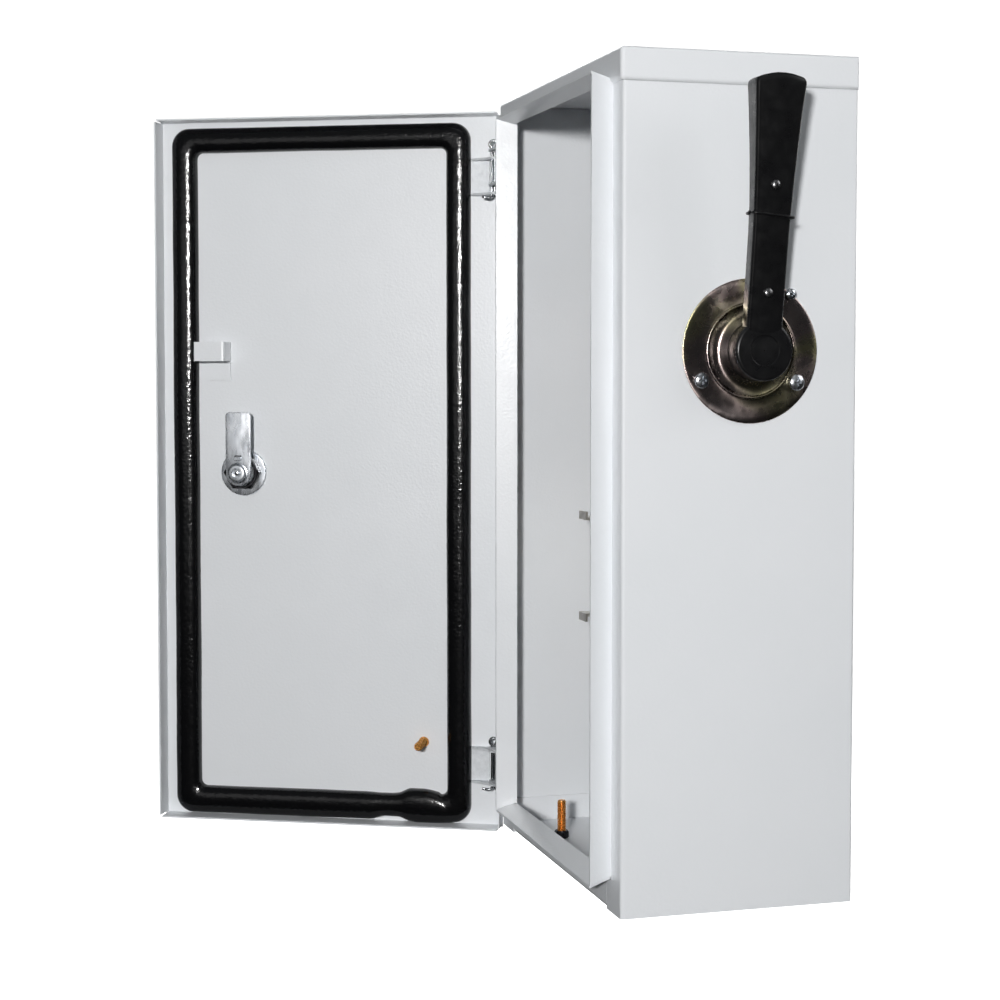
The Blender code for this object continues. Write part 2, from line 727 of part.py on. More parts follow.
def plate_screw(name, radius, angle_deg, head_r=4.8):
    """Pan-head screw on the plate; the angle runs from the front towards the top."""
    a = math.radians(angle_deg)
    centre = (SHAFT_Y - radius * math.cos(a), SHAFT_Z + radius * math.sin(a))
    x = HALF_W + GAP + 1.95
    profile = [(0.0, x), (head_r, x), (head_r, x + 1.0), (head_r * 0.75, x + 2.2),
               (head_r * 0.4, x + 2.7), (0.0, x + 2.7)]
    return lathe(name, profile, centre, "X", "zinc", 20)


def shaft_bush():
    """Flanged bearing for the shaft, clamped in the wall and the plate."""
    profile = [
        (SHAFT_R + 0.2, 113.0), (16.0, 113.0), (16.0, 123.2), (12.0, 123.2), (12.0, 131.0),
        (SHAFT_R + 0.2, 131.0),
    ]
    return lathe("shaft_bush", profile, (SHAFT_Y, SHAFT_Z), "X", "dark_steel", 32)


def switch_shaft():
    return rod("switch_shaft", (SHAFT_Y, SHAFT_Z), SHAFT_R, -88.0, 139.0, "X", "zinc", 24)


def rotor():
    """Square insulating sleeve on the shaft, slotted for the three blades."""
    half = 13.0
    square = ((SHAFT_Y - half, SHAFT_Z - half), (SHAFT_Y + half, SHAFT_Z - half),
              (SHAFT_Y + half, SHAFT_Z + half), (SHAFT_Y - half, SHAFT_Z + half))
    made = prism("rotor", square, -82.0, 82.0, "X", "board")
    bore = rod("hole", (SHAFT_Y, SHAFT_Z), SHAFT_R + GAP, -90, 90, "X", "board", 24)
    slots = []
    for x in POLES:
        reach = BLADE_T / 2 + GAP
        slots.append(block("slot", (x - reach, x + reach), (SHAFT_Y - 20, SHAFT_Y + 20),
                           (SHAFT_Z - BLADE_W / 2 - GAP, SHAFT_Z + BLADE_W / 2 + GAP), "board"))
    return cut(made, bore, *slots)


def switch_blade(number, x):
    """Double-break copper blade through the rotor."""
    half = BLADE_W / 2
    tip = BLADE_HALF
    outline = []
    for side in (1, -1):
        outline += [(SHAFT_Y + side * tip, SHAFT_Z + side * (half - 3)),
                    (SHAFT_Y + side * (tip - 3), SHAFT_Z + side * half),
                    (SHAFT_Y - side * (tip - 3), SHAFT_Z + side * half),
                    (SHAFT_Y - side * tip, SHAFT_Z + side * (half - 3))]
    made = prism(f"switch_blade_{number}", outline, x - BLADE_T / 2, x + BLADE_T / 2, "X", "tin")
    hole = rod("hole", (SHAFT_Y, SHAFT_Z), SHAFT_R + GAP, x - 5, x + 5, "X", "tin", 24)
    return cut(made, hole)


def interlock_arm():
    """Bent arm on the shaft whose tip goes behind the door hook with the switch on."""
    made = lathe("interlock_arm", [(SHAFT_R + GAP, 97.0), (14.0, 97.0), (14.0, 101.0),
                                   (SHAFT_R + GAP, 101.0)], (SHAFT_Y, SHAFT_Z), "X", "zinc", 24)
    arm = block("arm", (97.0, 101.0), (SHAFT_Y - 5, SHAFT_Y + 5),
                (SHAFT_Z + 9, SHAFT_Z + 90.5), "zinc")
    tip = block("tip", (82.0, 101.0), (SHAFT_Y - 5, SHAFT_Y + 5),
                (SHAFT_Z + 87.5, SHAFT_Z + 90.5), "zinc")
    return join(made, arm, tip)


def handle_section(height):
    """Half width, thickness and outer face X of the lever at a height above the shaft."""
    half = 11.0 + 4.2 * max(0.0, (height - 60.0) / 90.0) ** 1.5
    thick = 9.6 + 5.0 * max(0.0, (height - 82.0) / 66.0) ** 1.2
    return half, thick, HANDLE_FOOT_X + HANDLE_LEAN * height


def handle_lever():
    """Black lever: hub on the shaft end, leaning outwards and widening to a crowned top."""
    heights = [9.0, 30.0, 60.0, 82.0, 100.0, 120.0, 138.0, 148.0, HANDLE_TOP]
    bm = bmesh.new()
    rings = []
    for h in heights:
        half, thick, face = handle_section(h)
        back = face - thick
        edge = 2.4
        corner = [(face, half - edge), (face - edge, half), (back + 1, half), (back, half - 1),
                  (back, 1 - half), (back + 1, -half), (face - edge, -half), (face, edge - half)]
        ring = []
        for x, y in corner:
            sag = HANDLE_CROWN * (y / half) ** 2 if h > HANDLE_TOP - 10 else 0.0
            ring.append(bm.verts.new((x, SHAFT_Y + y, SHAFT_Z + h - sag)))
        rings.append(ring)
    for ring, after in zip(rings, rings[1:]):
        for i in range(8):
            j = (i + 1) % 8
            bm.faces.new((ring[i], ring[j], after[j], after[i]))
    bm.faces.new(rings[0])
    bm.faces.new(rings[-1][::-1])
    crown = [e for e in bm.edges if all(v in rings[-1] for v in e.verts)]
    bmesh.ops.bevel(bm, geom=crown, offset=2.2, segments=2, profile=0.5, affect="EDGES",
                    clamp_overlap=True)
    bmesh.ops.triangulate(bm, faces=[f for f in bm.faces if len(f.verts) > 4])
    made = mesh_object("handle_lever", bm, "black_plastic")
    hub = lathe("hub", [(0.0, HUB_BACK), (HUB_R, HUB_BACK), (HUB_R, HUB_FACE - 1.5),
                        (HUB_R - 1.5, HUB_FACE), (0.0, HUB_FACE)],
                (SHAFT_Y, SHAFT_Z), "X", "black_plastic", 32)
    join(made, hub)
    socket = rod("hole", (SHAFT_Y, SHAFT_Z), SHAFT_R + GAP, 130.0, 139.3, "X", "black_plastic", 24)
    return cut(made, socket)


def handle_rivet(name, height):
    face = handle_section(height)[2]
    x = face + 0.8
    profile = [(0.0, x), (2.7, x), (2.7, x + 0.5), (1.6, x + 1.2), (0.0, x + 1.2)]
    return lathe(name, profile, (SHAFT_Y, SHAFT_Z + height), "X", "dark_steel", 16)


# ---------------------------------------------------------------- inside the case

def mounting_rail(name, z):
    """Hat-section rail on the back wall that carries the insulating board."""
    back = -SHEET - GAP - SHEET / 2
    front = BOARD_FRONT + BOARD_T + GAP + SHEET / 2
    path = [(back, z - RAIL_FOOT), (back, z - RAIL_HAT), (front, z - RAIL_HAT),
            (front, z + RAIL_HAT), (back, z + RAIL_HAT), (back, z + RAIL_FOOT)]
    return prism(name, sheet_outline(path, SHEET, BEND), -RAIL_HALF, RAIL_HALF, "X", "zinc")


def insulating_board():
    return block("insulating_board", (-BOARD_X, BOARD_X), (BOARD_FRONT, BOARD_FRONT + BOARD_T),
                 BOARD_Z, "board")


def jaw(name, x, base_z, tip_z, y, inner, leaf, bridge):
    """Spring contact: two leaves that grip a blade, bridged at one end."""
    low, high = sorted((base_z, tip_z))
    made = block(name, (x - inner - leaf, x + inner + leaf), y, (low, high), "tin")
    if bridge == "back":
        hollow = block("slot", (x - inner, x + inner), (y[0] - 5, y[1] - leaf),
                       (low - 5, high + 5), "tin")
    elif bridge == "top":
        hollow = block("slot", (x - inner, x + inner), (y[0] - 5, y[1] + 5),
                       (low - 5, high - leaf), "tin")
    else:
        hollow = block("slot", (x - inner, x + inner), (y[0] - 5, y[1] + 5),
                       (low + leaf, high + 5), "tin")
    return cut(made, hollow)


def line_contact(number, x):
    """Upper switch jaw with its strap down to the board and the incoming terminal."""
    inner = BLADE_T / 2 + JAW_PLAY
    z_bridge = SHAFT_Z + BLADE_HALF + 4.5
    made = jaw(f"line_contact_{number}", x, z_bridge - 20, z_bridge, SWITCH_JAW, inner, 2.0,
               "top")
    path = [(-76.0, z_bridge - 1.0), (BOARD_FRONT - 1.3, z_bridge - 1.0),
            (BOARD_FRONT - 1.3, z_bridge + 32.0)]
    strap = prism("strap", sheet_outline(path, STRAP_T, 2.0), x - 10, x + 10, "X", "tin")
    join(made, strap)
    return cut(made, rod("hole", (x, z_bridge + 20), TERMINAL_R, -40, -20, "Y", "tin", 24))


def link_contact(number, x):
    """Lower switch jaw and upper fuse jaw on one strap."""
    inner = BLADE_T / 2 + JAW_PLAY
    low = SHAFT_Z - BLADE_HALF - 4.5
    made = jaw(f"link_contact_{number}", x, low, low + 20, SWITCH_JAW, inner, 2.0, "bottom")
    top = FUSE_TOP + 28.5
    path = [(-76.0, low + 1.0), (BOARD_FRONT - 1.3, low + 1.0), (BOARD_FRONT - 1.3, top - 24.0)]
    strap = prism("strap", sheet_outline(path, STRAP_T, 2.0), x - 10, x + 10, "X", "tin")
    foot = block("foot", (x - 10, x + 10), (-58.5, BOARD_FRONT - 0.4), (top - 26, top - 24), "tin")
    grip = fuse_jaw("grip", x, top - 26.0, top)
    return join(made, strap, foot, grip)


def fuse_jaw(name, x, low, high):
    made = block(name, (x - 5.6, x + 5.6), (-90.0, -56.5), (low, high), "tin")
    slot = block("slot", (x - 3.6, x + 3.6), (-95.0, -59.0), (low - 5, high + 5), "tin")
    return cut(made, slot)


def load_contact(number, x):
    """Lower fuse jaw with the outgoing terminal."""
    high = FUSE_BOTTOM - 4.5
    low = high - 26.0
    made = fuse_jaw(f"load_contact_{number}", x, low, high)
    foot = block("foot", (x - 10, x + 10), (-58.5, BOARD_FRONT - 0.4), (high - 2, high), "tin")
    back = block("back", (x - 10, x + 10), (BOARD_FRONT - 2.4, BOARD_FRONT - 0.4),
                 (low - 22, high - 0.5), "tin")
    join(made, foot, back)
    return cut(made, rod("hole", (x, low - 10), TERMINAL_R, -40, -20, "Y", "tin", 24))


def board_screw(number, x, z):
    seat = BOARD_FRONT - GAP
    profile = [(0.0, seat), (4.4, seat), (4.4, seat - 1.4), (2.6, seat - 3.0), (0.0, seat - 3.0)]
    return lathe(f"board_screw_{number}", profile, (x, z), "Y", "zinc", 16)


def fuse_body(number, x):
    """Ceramic fuse body."""
    outline = rounded([(x - 18, FUSE_Y - 19), (x + 18, FUSE_Y - 19), (x + 18, FUSE_Y + 19),
                       (x - 18, FUSE_Y + 19)], [3.0] * 4)
    made = prism(f"fuse_body_{number}", outline, FUSE_BOTTOM + 1.3, FUSE_TOP - 1.3, "Z", "ceramic")
    hole = block("hole", (x - 2.4, x + 2.4), (FUSE_Y - 8, FUSE_Y + 8), (-120, 0), "ceramic")
    return cut(made, hole)


def fuse_conductor(number, x):
    """Knife blades, end plates with grip lugs and the fusible strip, as one conductor."""
    y = (FUSE_Y - 12, FUSE_Y + 12)
    made = block(f"fuse_conductor_{number}", (x - 2, x + 2), (FUSE_Y - 7, FUSE_Y + 7),
                 (FUSE_BOTTOM - 2, FUSE_TOP + 2), "tin")
    parts = []
    for z, way in ((FUSE_TOP, 1), (FUSE_BOTTOM, -1)):
        parts.append(block("plate", (x - 17, x + 17), (FUSE_Y - 18, FUSE_Y + 18),
                           (z - 1.0, z + 1.0), "tin"))
        parts.append(block("lug", (x - 7, x + 7), (FUSE_Y - 33, FUSE_Y - 17), (z - 1.0, z + 1.0),
                           "tin"))
        parts.append(block("hook", (x - 7, x + 7), (FUSE_Y - 33, FUSE_Y - 31.4),
                           sorted((z - way * 0.5, z + way * 4.5)), "tin"))
        parts.append(block("knife", (x - 3, x + 3), y, sorted((z + way * 0.5, z + way * 31)),
                           "tin"))
    return join(made, *parts)


# ---------------------------------------------------------------- assembly

def build_case():
    box_body()
    roof_cap()
    bottom_tray()
    for label, box_ears, ends in zip(("upper", "lower"), BOX_EARS, PIN_ENDS):
        hinge_bracket_box(f"hinge_bracket_box_{label}", box_ears)
        hinge_pin(f"hinge_pin_{label}", ends)
    earth_nut()
    earth_stud()
    grommet("cable_grommet_top", TOP, 1)
    grommet("cable_grommet_bottom", BOTTOM, -1)
    handle_plate()
    plate_screw("plate_screw_front", 35.0, -29.0)
    plate_screw("plate_screw_rear", 33.8, -147.4)
    plate_screw("plate_screw_top", 35.0, 92.0)
    plate_screw("stop_screw", 41.1, 126.4, 3.4)
    shaft_bush()
    mounting_rail("mounting_rail_upper", RAIL_Z[0])
    mounting_rail("mounting_rail_lower", RAIL_Z[1])
    insulating_board()
    spots = [(x, z) for z in RAIL_Z for x in (-BOARD_SCREW_X, BOARD_SCREW_X)]
    for number, (x, z) in enumerate(spots, 1):
        board_screw(number, x, z)
    for number, x in enumerate(POLES, 1):
        line_contact(number, x)
        link_contact(number, x)
        load_contact(number, x)


def build_door():
    hinge = (PIN_X, PIN_Y, 0.0)
    door = pivot("door_pivot", hinge)
    door.rotation_euler = (0.0, 0.0, -math.radians(DOOR_OPEN_DEG))
    pieces = [door_pan(), gasket(), door_earth_stud(), door_hook()]
    for label, ears in zip(("upper", "lower"), DOOR_EARS):
        pieces.append(hinge_bracket_door(f"hinge_bracket_door_{label}", ears))
    for piece in pieces + lock_parts():
        ride(piece, door, hinge)
    lock = (LOCK_X, DOOR_INNER_Y, LOCK_Z)
    cam = pivot("cam_pivot", lock, door, hinge)
    for piece in cam_parts():
        ride(piece, cam, lock)


def build_switch():
    shaft = (0.0, SHAFT_Y, SHAFT_Z)
    turn = pivot("switch_pivot", shaft)
    pieces = [switch_shaft(), rotor(), interlock_arm(), handle_lever()]
    pieces += [handle_rivet("handle_rivet_upper", 94.0), handle_rivet("handle_rivet_lower", 33.0)]
    pieces += [switch_blade(number, x) for number, x in enumerate(POLES, 1)]
    for piece in pieces:
        ride(piece, turn, shaft)


def build_fuses():
    for number, x in enumerate(POLES, 1):
        seat = (x, FUSE_Y, (FUSE_TOP + FUSE_BOTTOM) / 2)
        slide = pivot(f"fuse_slide_{number}", seat)
        ride(fuse_body(number, x), slide, seat)
        ride(fuse_conductor(number, x), slide, seat)


clear_scene()
build_case()
build_door()
build_switch()
build_fuses()
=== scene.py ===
"""Looks of the switch-fuse disconnect box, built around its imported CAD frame."""
import json
import math

import bmesh
import bpy
from mathutils import Matrix, Vector, noise


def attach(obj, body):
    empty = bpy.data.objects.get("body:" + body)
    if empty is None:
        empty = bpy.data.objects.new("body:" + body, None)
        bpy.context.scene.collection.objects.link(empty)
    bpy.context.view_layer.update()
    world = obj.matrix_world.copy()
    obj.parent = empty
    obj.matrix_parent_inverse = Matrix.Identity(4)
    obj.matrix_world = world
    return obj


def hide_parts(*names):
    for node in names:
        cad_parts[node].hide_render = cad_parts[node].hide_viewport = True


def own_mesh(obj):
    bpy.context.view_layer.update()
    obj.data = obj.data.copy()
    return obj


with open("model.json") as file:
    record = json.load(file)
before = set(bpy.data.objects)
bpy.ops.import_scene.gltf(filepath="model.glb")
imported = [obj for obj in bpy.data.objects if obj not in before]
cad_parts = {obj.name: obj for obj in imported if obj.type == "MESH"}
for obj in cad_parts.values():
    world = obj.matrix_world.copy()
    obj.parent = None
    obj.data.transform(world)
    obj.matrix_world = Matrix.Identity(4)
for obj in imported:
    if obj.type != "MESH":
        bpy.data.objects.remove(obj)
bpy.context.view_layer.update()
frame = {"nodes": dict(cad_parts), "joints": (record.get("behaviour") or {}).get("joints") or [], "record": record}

MM = 0.001
NODES = frame["nodes"]
JOINTS = {joint["name"]: joint for joint in frame["joints"]}

# The door's pieces are made as they lie with the door shut and then swung open
HINGE = Vector(JOINTS["door_hinge"]["pos_m"])
DOOR_OPEN = math.radians(JOINTS["door_hinge"]["range_deg"][1])
OPENED = (Matrix.Translation(HINGE) @ Matrix.Rotation(-DOOR_OPEN, 4, "Z")
          @ Matrix.Translation(-HINGE))
SHUT = OPENED.inverted()
SHAFT = Vector(JOINTS["switch_turn"]["pos_m"])
LOCK = SHUT @ Vector(JOINTS["lock_turn"]["pos_m"])


# ---------------------------------------------------------------- materials

class Shader:
    """A small builder for one node material."""

    def __init__(self, name, colour, roughness, metallic=0.0, **sockets):
        self.material = bpy.data.materials.new(name)
        self.material.use_nodes = True
        self.tree = self.material.node_tree
        self.bsdf = self.tree.nodes["Principled BSDF"]
        self.bsdf.inputs["Base Color"].default_value = (*colour, 1.0)
        self.bsdf.inputs["Roughness"].default_value = roughness
        self.bsdf.inputs["Metallic"].default_value = metallic
        for socket, value in sockets.items():
            self.bsdf.inputs[socket.replace("_", " ")].default_value = value
        self.place = self.tree.nodes.new("ShaderNodeTexCoord").outputs["Object"]
        self.height = None

    def link(self, out, into):
        self.tree.links.new(out, into)

    def noise(self, scale, detail=2.0, roughness=0.5, stretch=None, distortion=0.0):
        node = self.tree.nodes.new("ShaderNodeTexNoise")
        node.inputs["Scale"].default_value = scale
        node.inputs["Detail"].default_value = detail
        node.inputs["Roughness"].default_value = roughness
        node.inputs["Distortion"].default_value = distortion
        place = self.place
        if stretch:
            mapping = self.tree.nodes.new("ShaderNodeMapping")
            mapping.inputs["Scale"].default_value = stretch
            self.link(place, mapping.inputs["Vector"])
            place = mapping.outputs["Vector"]
        self.link(place, node.inputs["Vector"])
        return node.outputs["Fac"]

    def ramp(self, value, *stops):
        node = self.tree.nodes.new("ShaderNodeValToRGB")
        ramp = node.color_ramp
        while len(ramp.elements) < len(stops):
            ramp.elements.new(0.5)
        for element, (position, colour) in zip(ramp.elements, stops):
            element.position = position
            element.color = (*colour, 1.0) if len(colour) == 3 else colour
        self.link(value, node.inputs["Fac"])
        return node.outputs["Color"]

    def spread(self, value, low, high, from_low=0.3, from_high=0.7):
        node = self.tree.nodes.new("ShaderNodeMapRange")
        node.inputs["From Min"].default_value = from_low
        node.inputs["From Max"].default_value = from_high
        node.inputs["To Min"].default_value = low
        node.inputs["To Max"].default_value = high
        self.link(value, node.inputs["Value"])
        return node.outputs["Result"]

    def bump(self, value, distance, strength=1.0):
        node = self.tree.nodes.new("ShaderNodeBump")
        node.inputs["Distance"].default_value = distance
        node.inputs["Strength"].default_value = strength
        self.link(value, node.inputs["Height"])
        if self.height:
            self.link(self.height, node.inputs["Normal"])
        self.height = node.outputs["Normal"]
        self.link(self.height, self.bsdf.inputs["Normal"])

    def colour(self, out):
        self.link(out, self.bsdf.inputs["Base Color"])

    def roughness(self, out):
        self.link(out, self.bsdf.inputs["Roughness"])


def powder_coat():
    """Light grey powder coat with a fine orange peel."""
    s = Shader("powder_coat", (0.76, 0.78, 0.80), 0.33, Coat_Weight=0.25, Coat_Roughness=0.22)
    tone = s.noise(9.0, 3.0)
    s.colour(s.ramp(tone, (0.3, (0.80, 0.825, 0.85)), (0.7, (0.83, 0.85, 0.875))))
    s.roughness(s.spread(s.noise(60.0, 2.0), 0.29, 0.38))
    s.bump(s.noise(560.0, 1.5, 0.45), 0.00012, 0.9)
    s.bump(s.noise(140.0, 2.0), 0.00004, 0.4)
    return s.material


def black_foam():
    """Glossy skin of a foam strip, with the fine pimples that break its highlight up."""
    s = Shader("gasket_rubber", (0.003, 0.003, 0.0035), 0.2, Specular_IOR_Level=0.5)
    s.bump(s.noise(420.0, 2.0, 0.5), 0.00032, 0.7)
    s.bump(s.noise(1500.0, 2.0), 0.00004, 0.5)
    s.roughness(s.spread(s.noise(700.0), 0.12, 0.2))
    return s.material


def zinc_plate():
    """Bright zinc plating with fine handling scratches."""
    s = Shader("zinc_plating", (0.80, 0.82, 0.85), 0.24, 1.0)
    cloudy = s.noise(110.0, 3.0, 0.55, (1.0, 1.0, 0.5), 1.2)
    s.colour(s.ramp(cloudy, (0.35, (0.56, 0.59, 0.63)), (0.62, (0.80, 0.825, 0.86))))
    s.roughness(s.spread(s.noise(260.0, 3.0, 0.55, (1.0, 1.0, 0.3)), 0.2, 0.34))
    s.bump(s.noise(700.0, 2.0, 0.5, (1.0, 1.0, 0.08)), 0.000012, 0.6)
    return s.material


def galvanised():
    """Duller zinc of the stamped hinge brackets, nearly as pale as the paint."""
    s = Shader("galvanised_sheet", (0.68, 0.71, 0.73), 0.55, 0.1)
    s.colour(s.ramp(s.noise(260.0, 3.0, 0.6), (0.3, (0.62, 0.645, 0.67)), (0.7, (0.74, 0.765, 0.79))))
    s.roughness(s.spread(s.noise(500.0, 3.0), 0.4, 0.58))
    s.bump(s.noise(1000.0, 2.0), 0.00005, 0.7)
    return s.material


def rivet_steel():
    s = Shader("rivet_steel", (0.2, 0.2, 0.205), 0.3, 1.0)
    s.roughness(s.spread(s.noise(900.0), 0.24, 0.4))
    return s.material


def pin_steel():
    """Oiled steel wire of the hinge cotters: dark, with one bright line along it."""
    s = Shader("pin_steel", (0.26, 0.27, 0.28), 0.2, 1.0)
    s.roughness(s.spread(s.noise(700.0), 0.16, 0.28))
    return s.material


def chromate():
    """Spun, yellow-chromated zinc: dark bronze with olive, green and rose patches."""
    s = Shader("yellow_chromate", (0.36, 0.32, 0.24), 0.22, 1.0, Anisotropic=0.8)
    tint = s.noise(17.0, 2.0, 0.45, None, 0.7)
    s.colour(s.ramp(tint, (0.26, (0.38, 0.45, 0.38)), (0.38, (0.42, 0.39, 0.22)),
                    (0.5, (0.36, 0.29, 0.27)), (0.64, (0.30, 0.255, 0.25)),
                    (0.8, (0.38, 0.42, 0.36))))
    s.roughness(s.spread(s.noise(160.0, 2.0), 0.22, 0.32))
    s.bump(s.noise(600.0, 2.0), 0.000012, 0.5)
    around = s.tree.nodes.new("ShaderNodeTangent")
    around.direction_type = "RADIAL"
    around.axis = "X"
    s.link(around.outputs["Tangent"], s.bsdf.inputs["Tangent"])
    return s.material


def copper():
    s = Shader("copper_plating", (0.90, 0.44, 0.12), 0.25, 0.85)
    s.colour(s.ramp(s.noise(400.0, 3.0), (0.3, (0.82, 0.33, 0.07)), (0.7, (0.95, 0.50, 0.15))))
    s.roughness(s.spread(s.noise(900.0), 0.18, 0.36))
    return s.material


def dark_steel():
    s = Shader("dark_steel", (0.035, 0.035, 0.038), 0.38, 1.0)
    s.colour(s.ramp(s.noise(300.0, 3.0), (0.3, (0.02, 0.02, 0.022)), (0.7, (0.07, 0.07, 0.075))))
    s.bump(s.noise(900.0, 2.0), 0.00004, 0.8)
    return s.material


def handle_plastic():
    """Moulded black plastic with a satin gloss and faint flow marks."""
    s = Shader("handle_plastic", (0.005, 0.005, 0.0055), 0.3, Specular_IOR_Level=0.42)
    s.roughness(s.spread(s.noise(120.0, 4.0, 0.6), 0.24, 0.42))
    s.bump(s.noise(1100.0, 2.0, 0.5), 0.00004, 0.7)
    s.bump(s.noise(40.0, 2.0), 0.0003, 0.3)
    return s.material


def rubber():
    s = Shader("grommet_rubber", (0.02, 0.02, 0.02), 0.6)
    s.bump(s.noise(1200.0, 2.0), 0.00006, 0.7)
    return s.material


def laminate():
    s = Shader("brown_laminate", (0.26, 0.13, 0.06), 0.42)
    s.colour(s.ramp(s.noise(60.0, 5.0, 0.6, (1.0, 1.0, 0.2)), (0.3, (0.20, 0.09, 0.04)),
                    (0.7, (0.33, 0.17, 0.08))))
    s.bump(s.noise(800.0, 2.0), 0.00004, 0.5)
    return s.material


def tinned():
    s = Shader("tinned_copper", (0.66, 0.64, 0.60), 0.34, 1.0)
    s.roughness(s.spread(s.noise(200.0, 4.0), 0.26, 0.46))
    s.colour(s.ramp(s.noise(120.0, 4.0), (0.3, (0.56, 0.54, 0.50)), (0.7, (0.70, 0.68, 0.64))))
    return s.material


def ceramic():
    s = Shader("fuse_ceramic", (0.80, 0.77, 0.70), 0.35, Coat_Weight=0.3, Coat_Roughness=0.12)
    s.colour(s.ramp(s.noise(50.0, 4.0), (0.3, (0.76, 0.73, 0.66)), (0.7, (0.84, 0.81, 0.75))))
    s.bump(s.noise(600.0, 2.0), 0.00005, 0.5)
    return s.material


MATERIALS = {
    "case_paint": powder_coat(),
    "gasket": black_foam(),
    "zinc": zinc_plate(),
    "chromate": chromate(),
    "dark_steel": dark_steel(),
    "copper": copper(),
    "rubber": rubber(),
    "board": laminate(),
    "tinned": tinned(),
    "ceramic": ceramic(),
    "handle_black": handle_plastic(),
}
RIVET_STEEL = rivet_steel()
GALVANISED = galvanised()
PIN_STEEL = pin_steel()


def dress_frame():
    """Give every carried-over CAD node its material and smooth its rounded faces."""
    for part in frame["record"]["subparts"]:
        node = NODES[part["node"]]
        node.data.materials.clear()
        dull = part["node"].startswith("hinge_bracket")
        node.data.materials.append(GALVANISED if dull else MATERIALS[part["material_slot"]])
        node.data.shade_smooth()
        node.data.set_sharp_from_angle(angle=math.radians(28))


# ---------------------------------------------------------------- mesh helpers (millimetres)

def circle(u, v, radius, segments=48):
    turns = [2 * math.pi * i / segments for i in range(segments)]
    return [(u + radius * math.cos(a), v + radius * math.sin(a)) for a in turns]


def on_axis(axis, u, v, w):
    if axis == "X":
        return (w, u, v)
    if axis == "Y":
        return (u, w, v)
    return (u, v, w)


def skin(bm, rings, closed=False, caps=False):
    """Bridge equal rings of points, and cap the first and last if asked."""
    made = [[bm.verts.new(point) for point in ring] for ring in rings]
    pairs = list(zip(made, made[1:]))
    if closed:
        pairs.append((made[-1], made[0]))
    for ring, after in pairs:
        for i in range(len(ring)):
            j = (i + 1) % len(ring)
            bm.faces.new((ring[i], ring[j], after[j], after[i]))
    if caps:
        bm.faces.new(made[0])
        bm.faces.new(made[-1][::-1])
    return made


def turned(bm, profile, centre, axis, segments=64):
    """Turn a closed (radius, height) profile; a radius of 0 becomes a small dimple-free pole."""
    rings = []
    for radius, height in profile:
        spots = circle(centre[0], centre[1], max(radius, 0.01), segments)
        rings.append([on_axis(axis, u, v, height) for u, v in spots])
    skin(bm, rings, closed=True)


def extruded(bm, outline, low, high, axis):
    skin(bm, [[on_axis(axis, u, v, w) for u, v in outline] for w in (low, high)], caps=True)


def arc(u, v, radius, start_deg, end_deg, steps):
    """Points on an arc, with both of its ends."""
    angles = [math.radians(start_deg + (end_deg - start_deg) * k / steps) for k in range(steps + 1)]
    return [(u + radius * math.cos(a), v + radius * math.sin(a)) for a in angles]


def wire(bm, path, radius, segments=12):
    """Sweep a round wire along a list of points and round its two ends."""
    points = [Vector(p) for p in path]
    across = None
    rings = []
    for i, here in enumerate(points):
        along = (points[min(i + 1, len(points) - 1)] - points[max(i - 1, 0)]).normalized()
        if across is None:
            across = along.orthogonal().normalized()
        across = (across - along * across.dot(along)).normalized()
        other = along.cross(across)
        ends = [(0.0, radius)]
        if i == 0:
            ends = [(-radius * 0.8, radius * 0.35), (-radius * 0.5, radius * 0.8), (0.0, radius)]
        elif i == len(points) - 1:
            ends = [(0.0, radius), (radius * 0.5, radius * 0.8), (radius * 0.8, radius * 0.35)]
        for ahead, r in ends:
            rings.append([here + along * ahead + across * (r * math.cos(a)) + other * (r * math.sin(a))
                          for a in (2 * math.pi * k / segments for k in range(segments))])
    skin(bm, rings, caps=True)


def thread(bm, centre, axis, low, high, radius, pitch, segments=28, per_turn=6):
    """A real helical thread between two heights, closed at both ends."""
    depth = pitch * 0.55
    steps = int((high - low) / pitch * per_turn)
    rings = [[on_axis(axis, u, v, low) for u, v in circle(*centre, radius - depth, segments)]]
    for k in range(steps + 1):
        height = low + (high - low) * k / steps
        fade = min(1.0, (high - height) / pitch + 0.05)
        ring = []
        for i in range(segments):
            turn = i / segments
            wave = abs(((height / pitch - turn) % 1.0) * 2 - 1)
            r = radius - depth + depth * fade * min(1.0, wave * 1.25)
            a = 2 * math.pi * turn
            ring.append(on_axis(axis, centre[0] + r * math.cos(a), centre[1] + r * math.sin(a),
                                height))
        rings.append(ring)
    rings.append([on_axis(axis, u, v, high + 0.3)
                  for u, v in circle(*centre, radius - depth - 0.2, segments)])
    skin(bm, rings, caps=True)


def hex_nut(bm, centre, axis, low, high, across, bore):
    """Six-sided nut with chamfered corners on both faces."""
    segments = 48
    flat = across / 2
    corner = flat / math.cos(math.pi / 6)

    def reach(angle):
        return flat / math.cos(angle % (math.pi / 3) - math.pi / 6)

    def ring(limit, height):
        spots = []
        for i in range(segments):
            a = 2 * math.pi * i / segments
            r = min(reach(a), limit)
            spots.append(on_axis(axis, centre[0] + r * math.cos(a), centre[1] + r * math.sin(a),
                                 height))
        return spots

    edge = (high - low) * 0.14
    hole = [[on_axis(axis, u, v, w) for u, v in circle(*centre, r, segments)]
            for r, w in ((bore, high - edge * 0.6), (bore, low + edge * 0.6))]
    mouth_high = [on_axis(axis, u, v, high) for u, v in circle(*centre, bore + edge * 0.6, segments)]
    mouth_low = [on_axis(axis, u, v, low) for u, v in circle(*centre, bore + edge * 0.6, segments)]
    skin(bm, [mouth_low, ring(flat * 0.985, low), ring(corner, low + edge), ring(corner, high - edge),
              ring(flat * 0.985, high), mouth_high, *hole], closed=True)


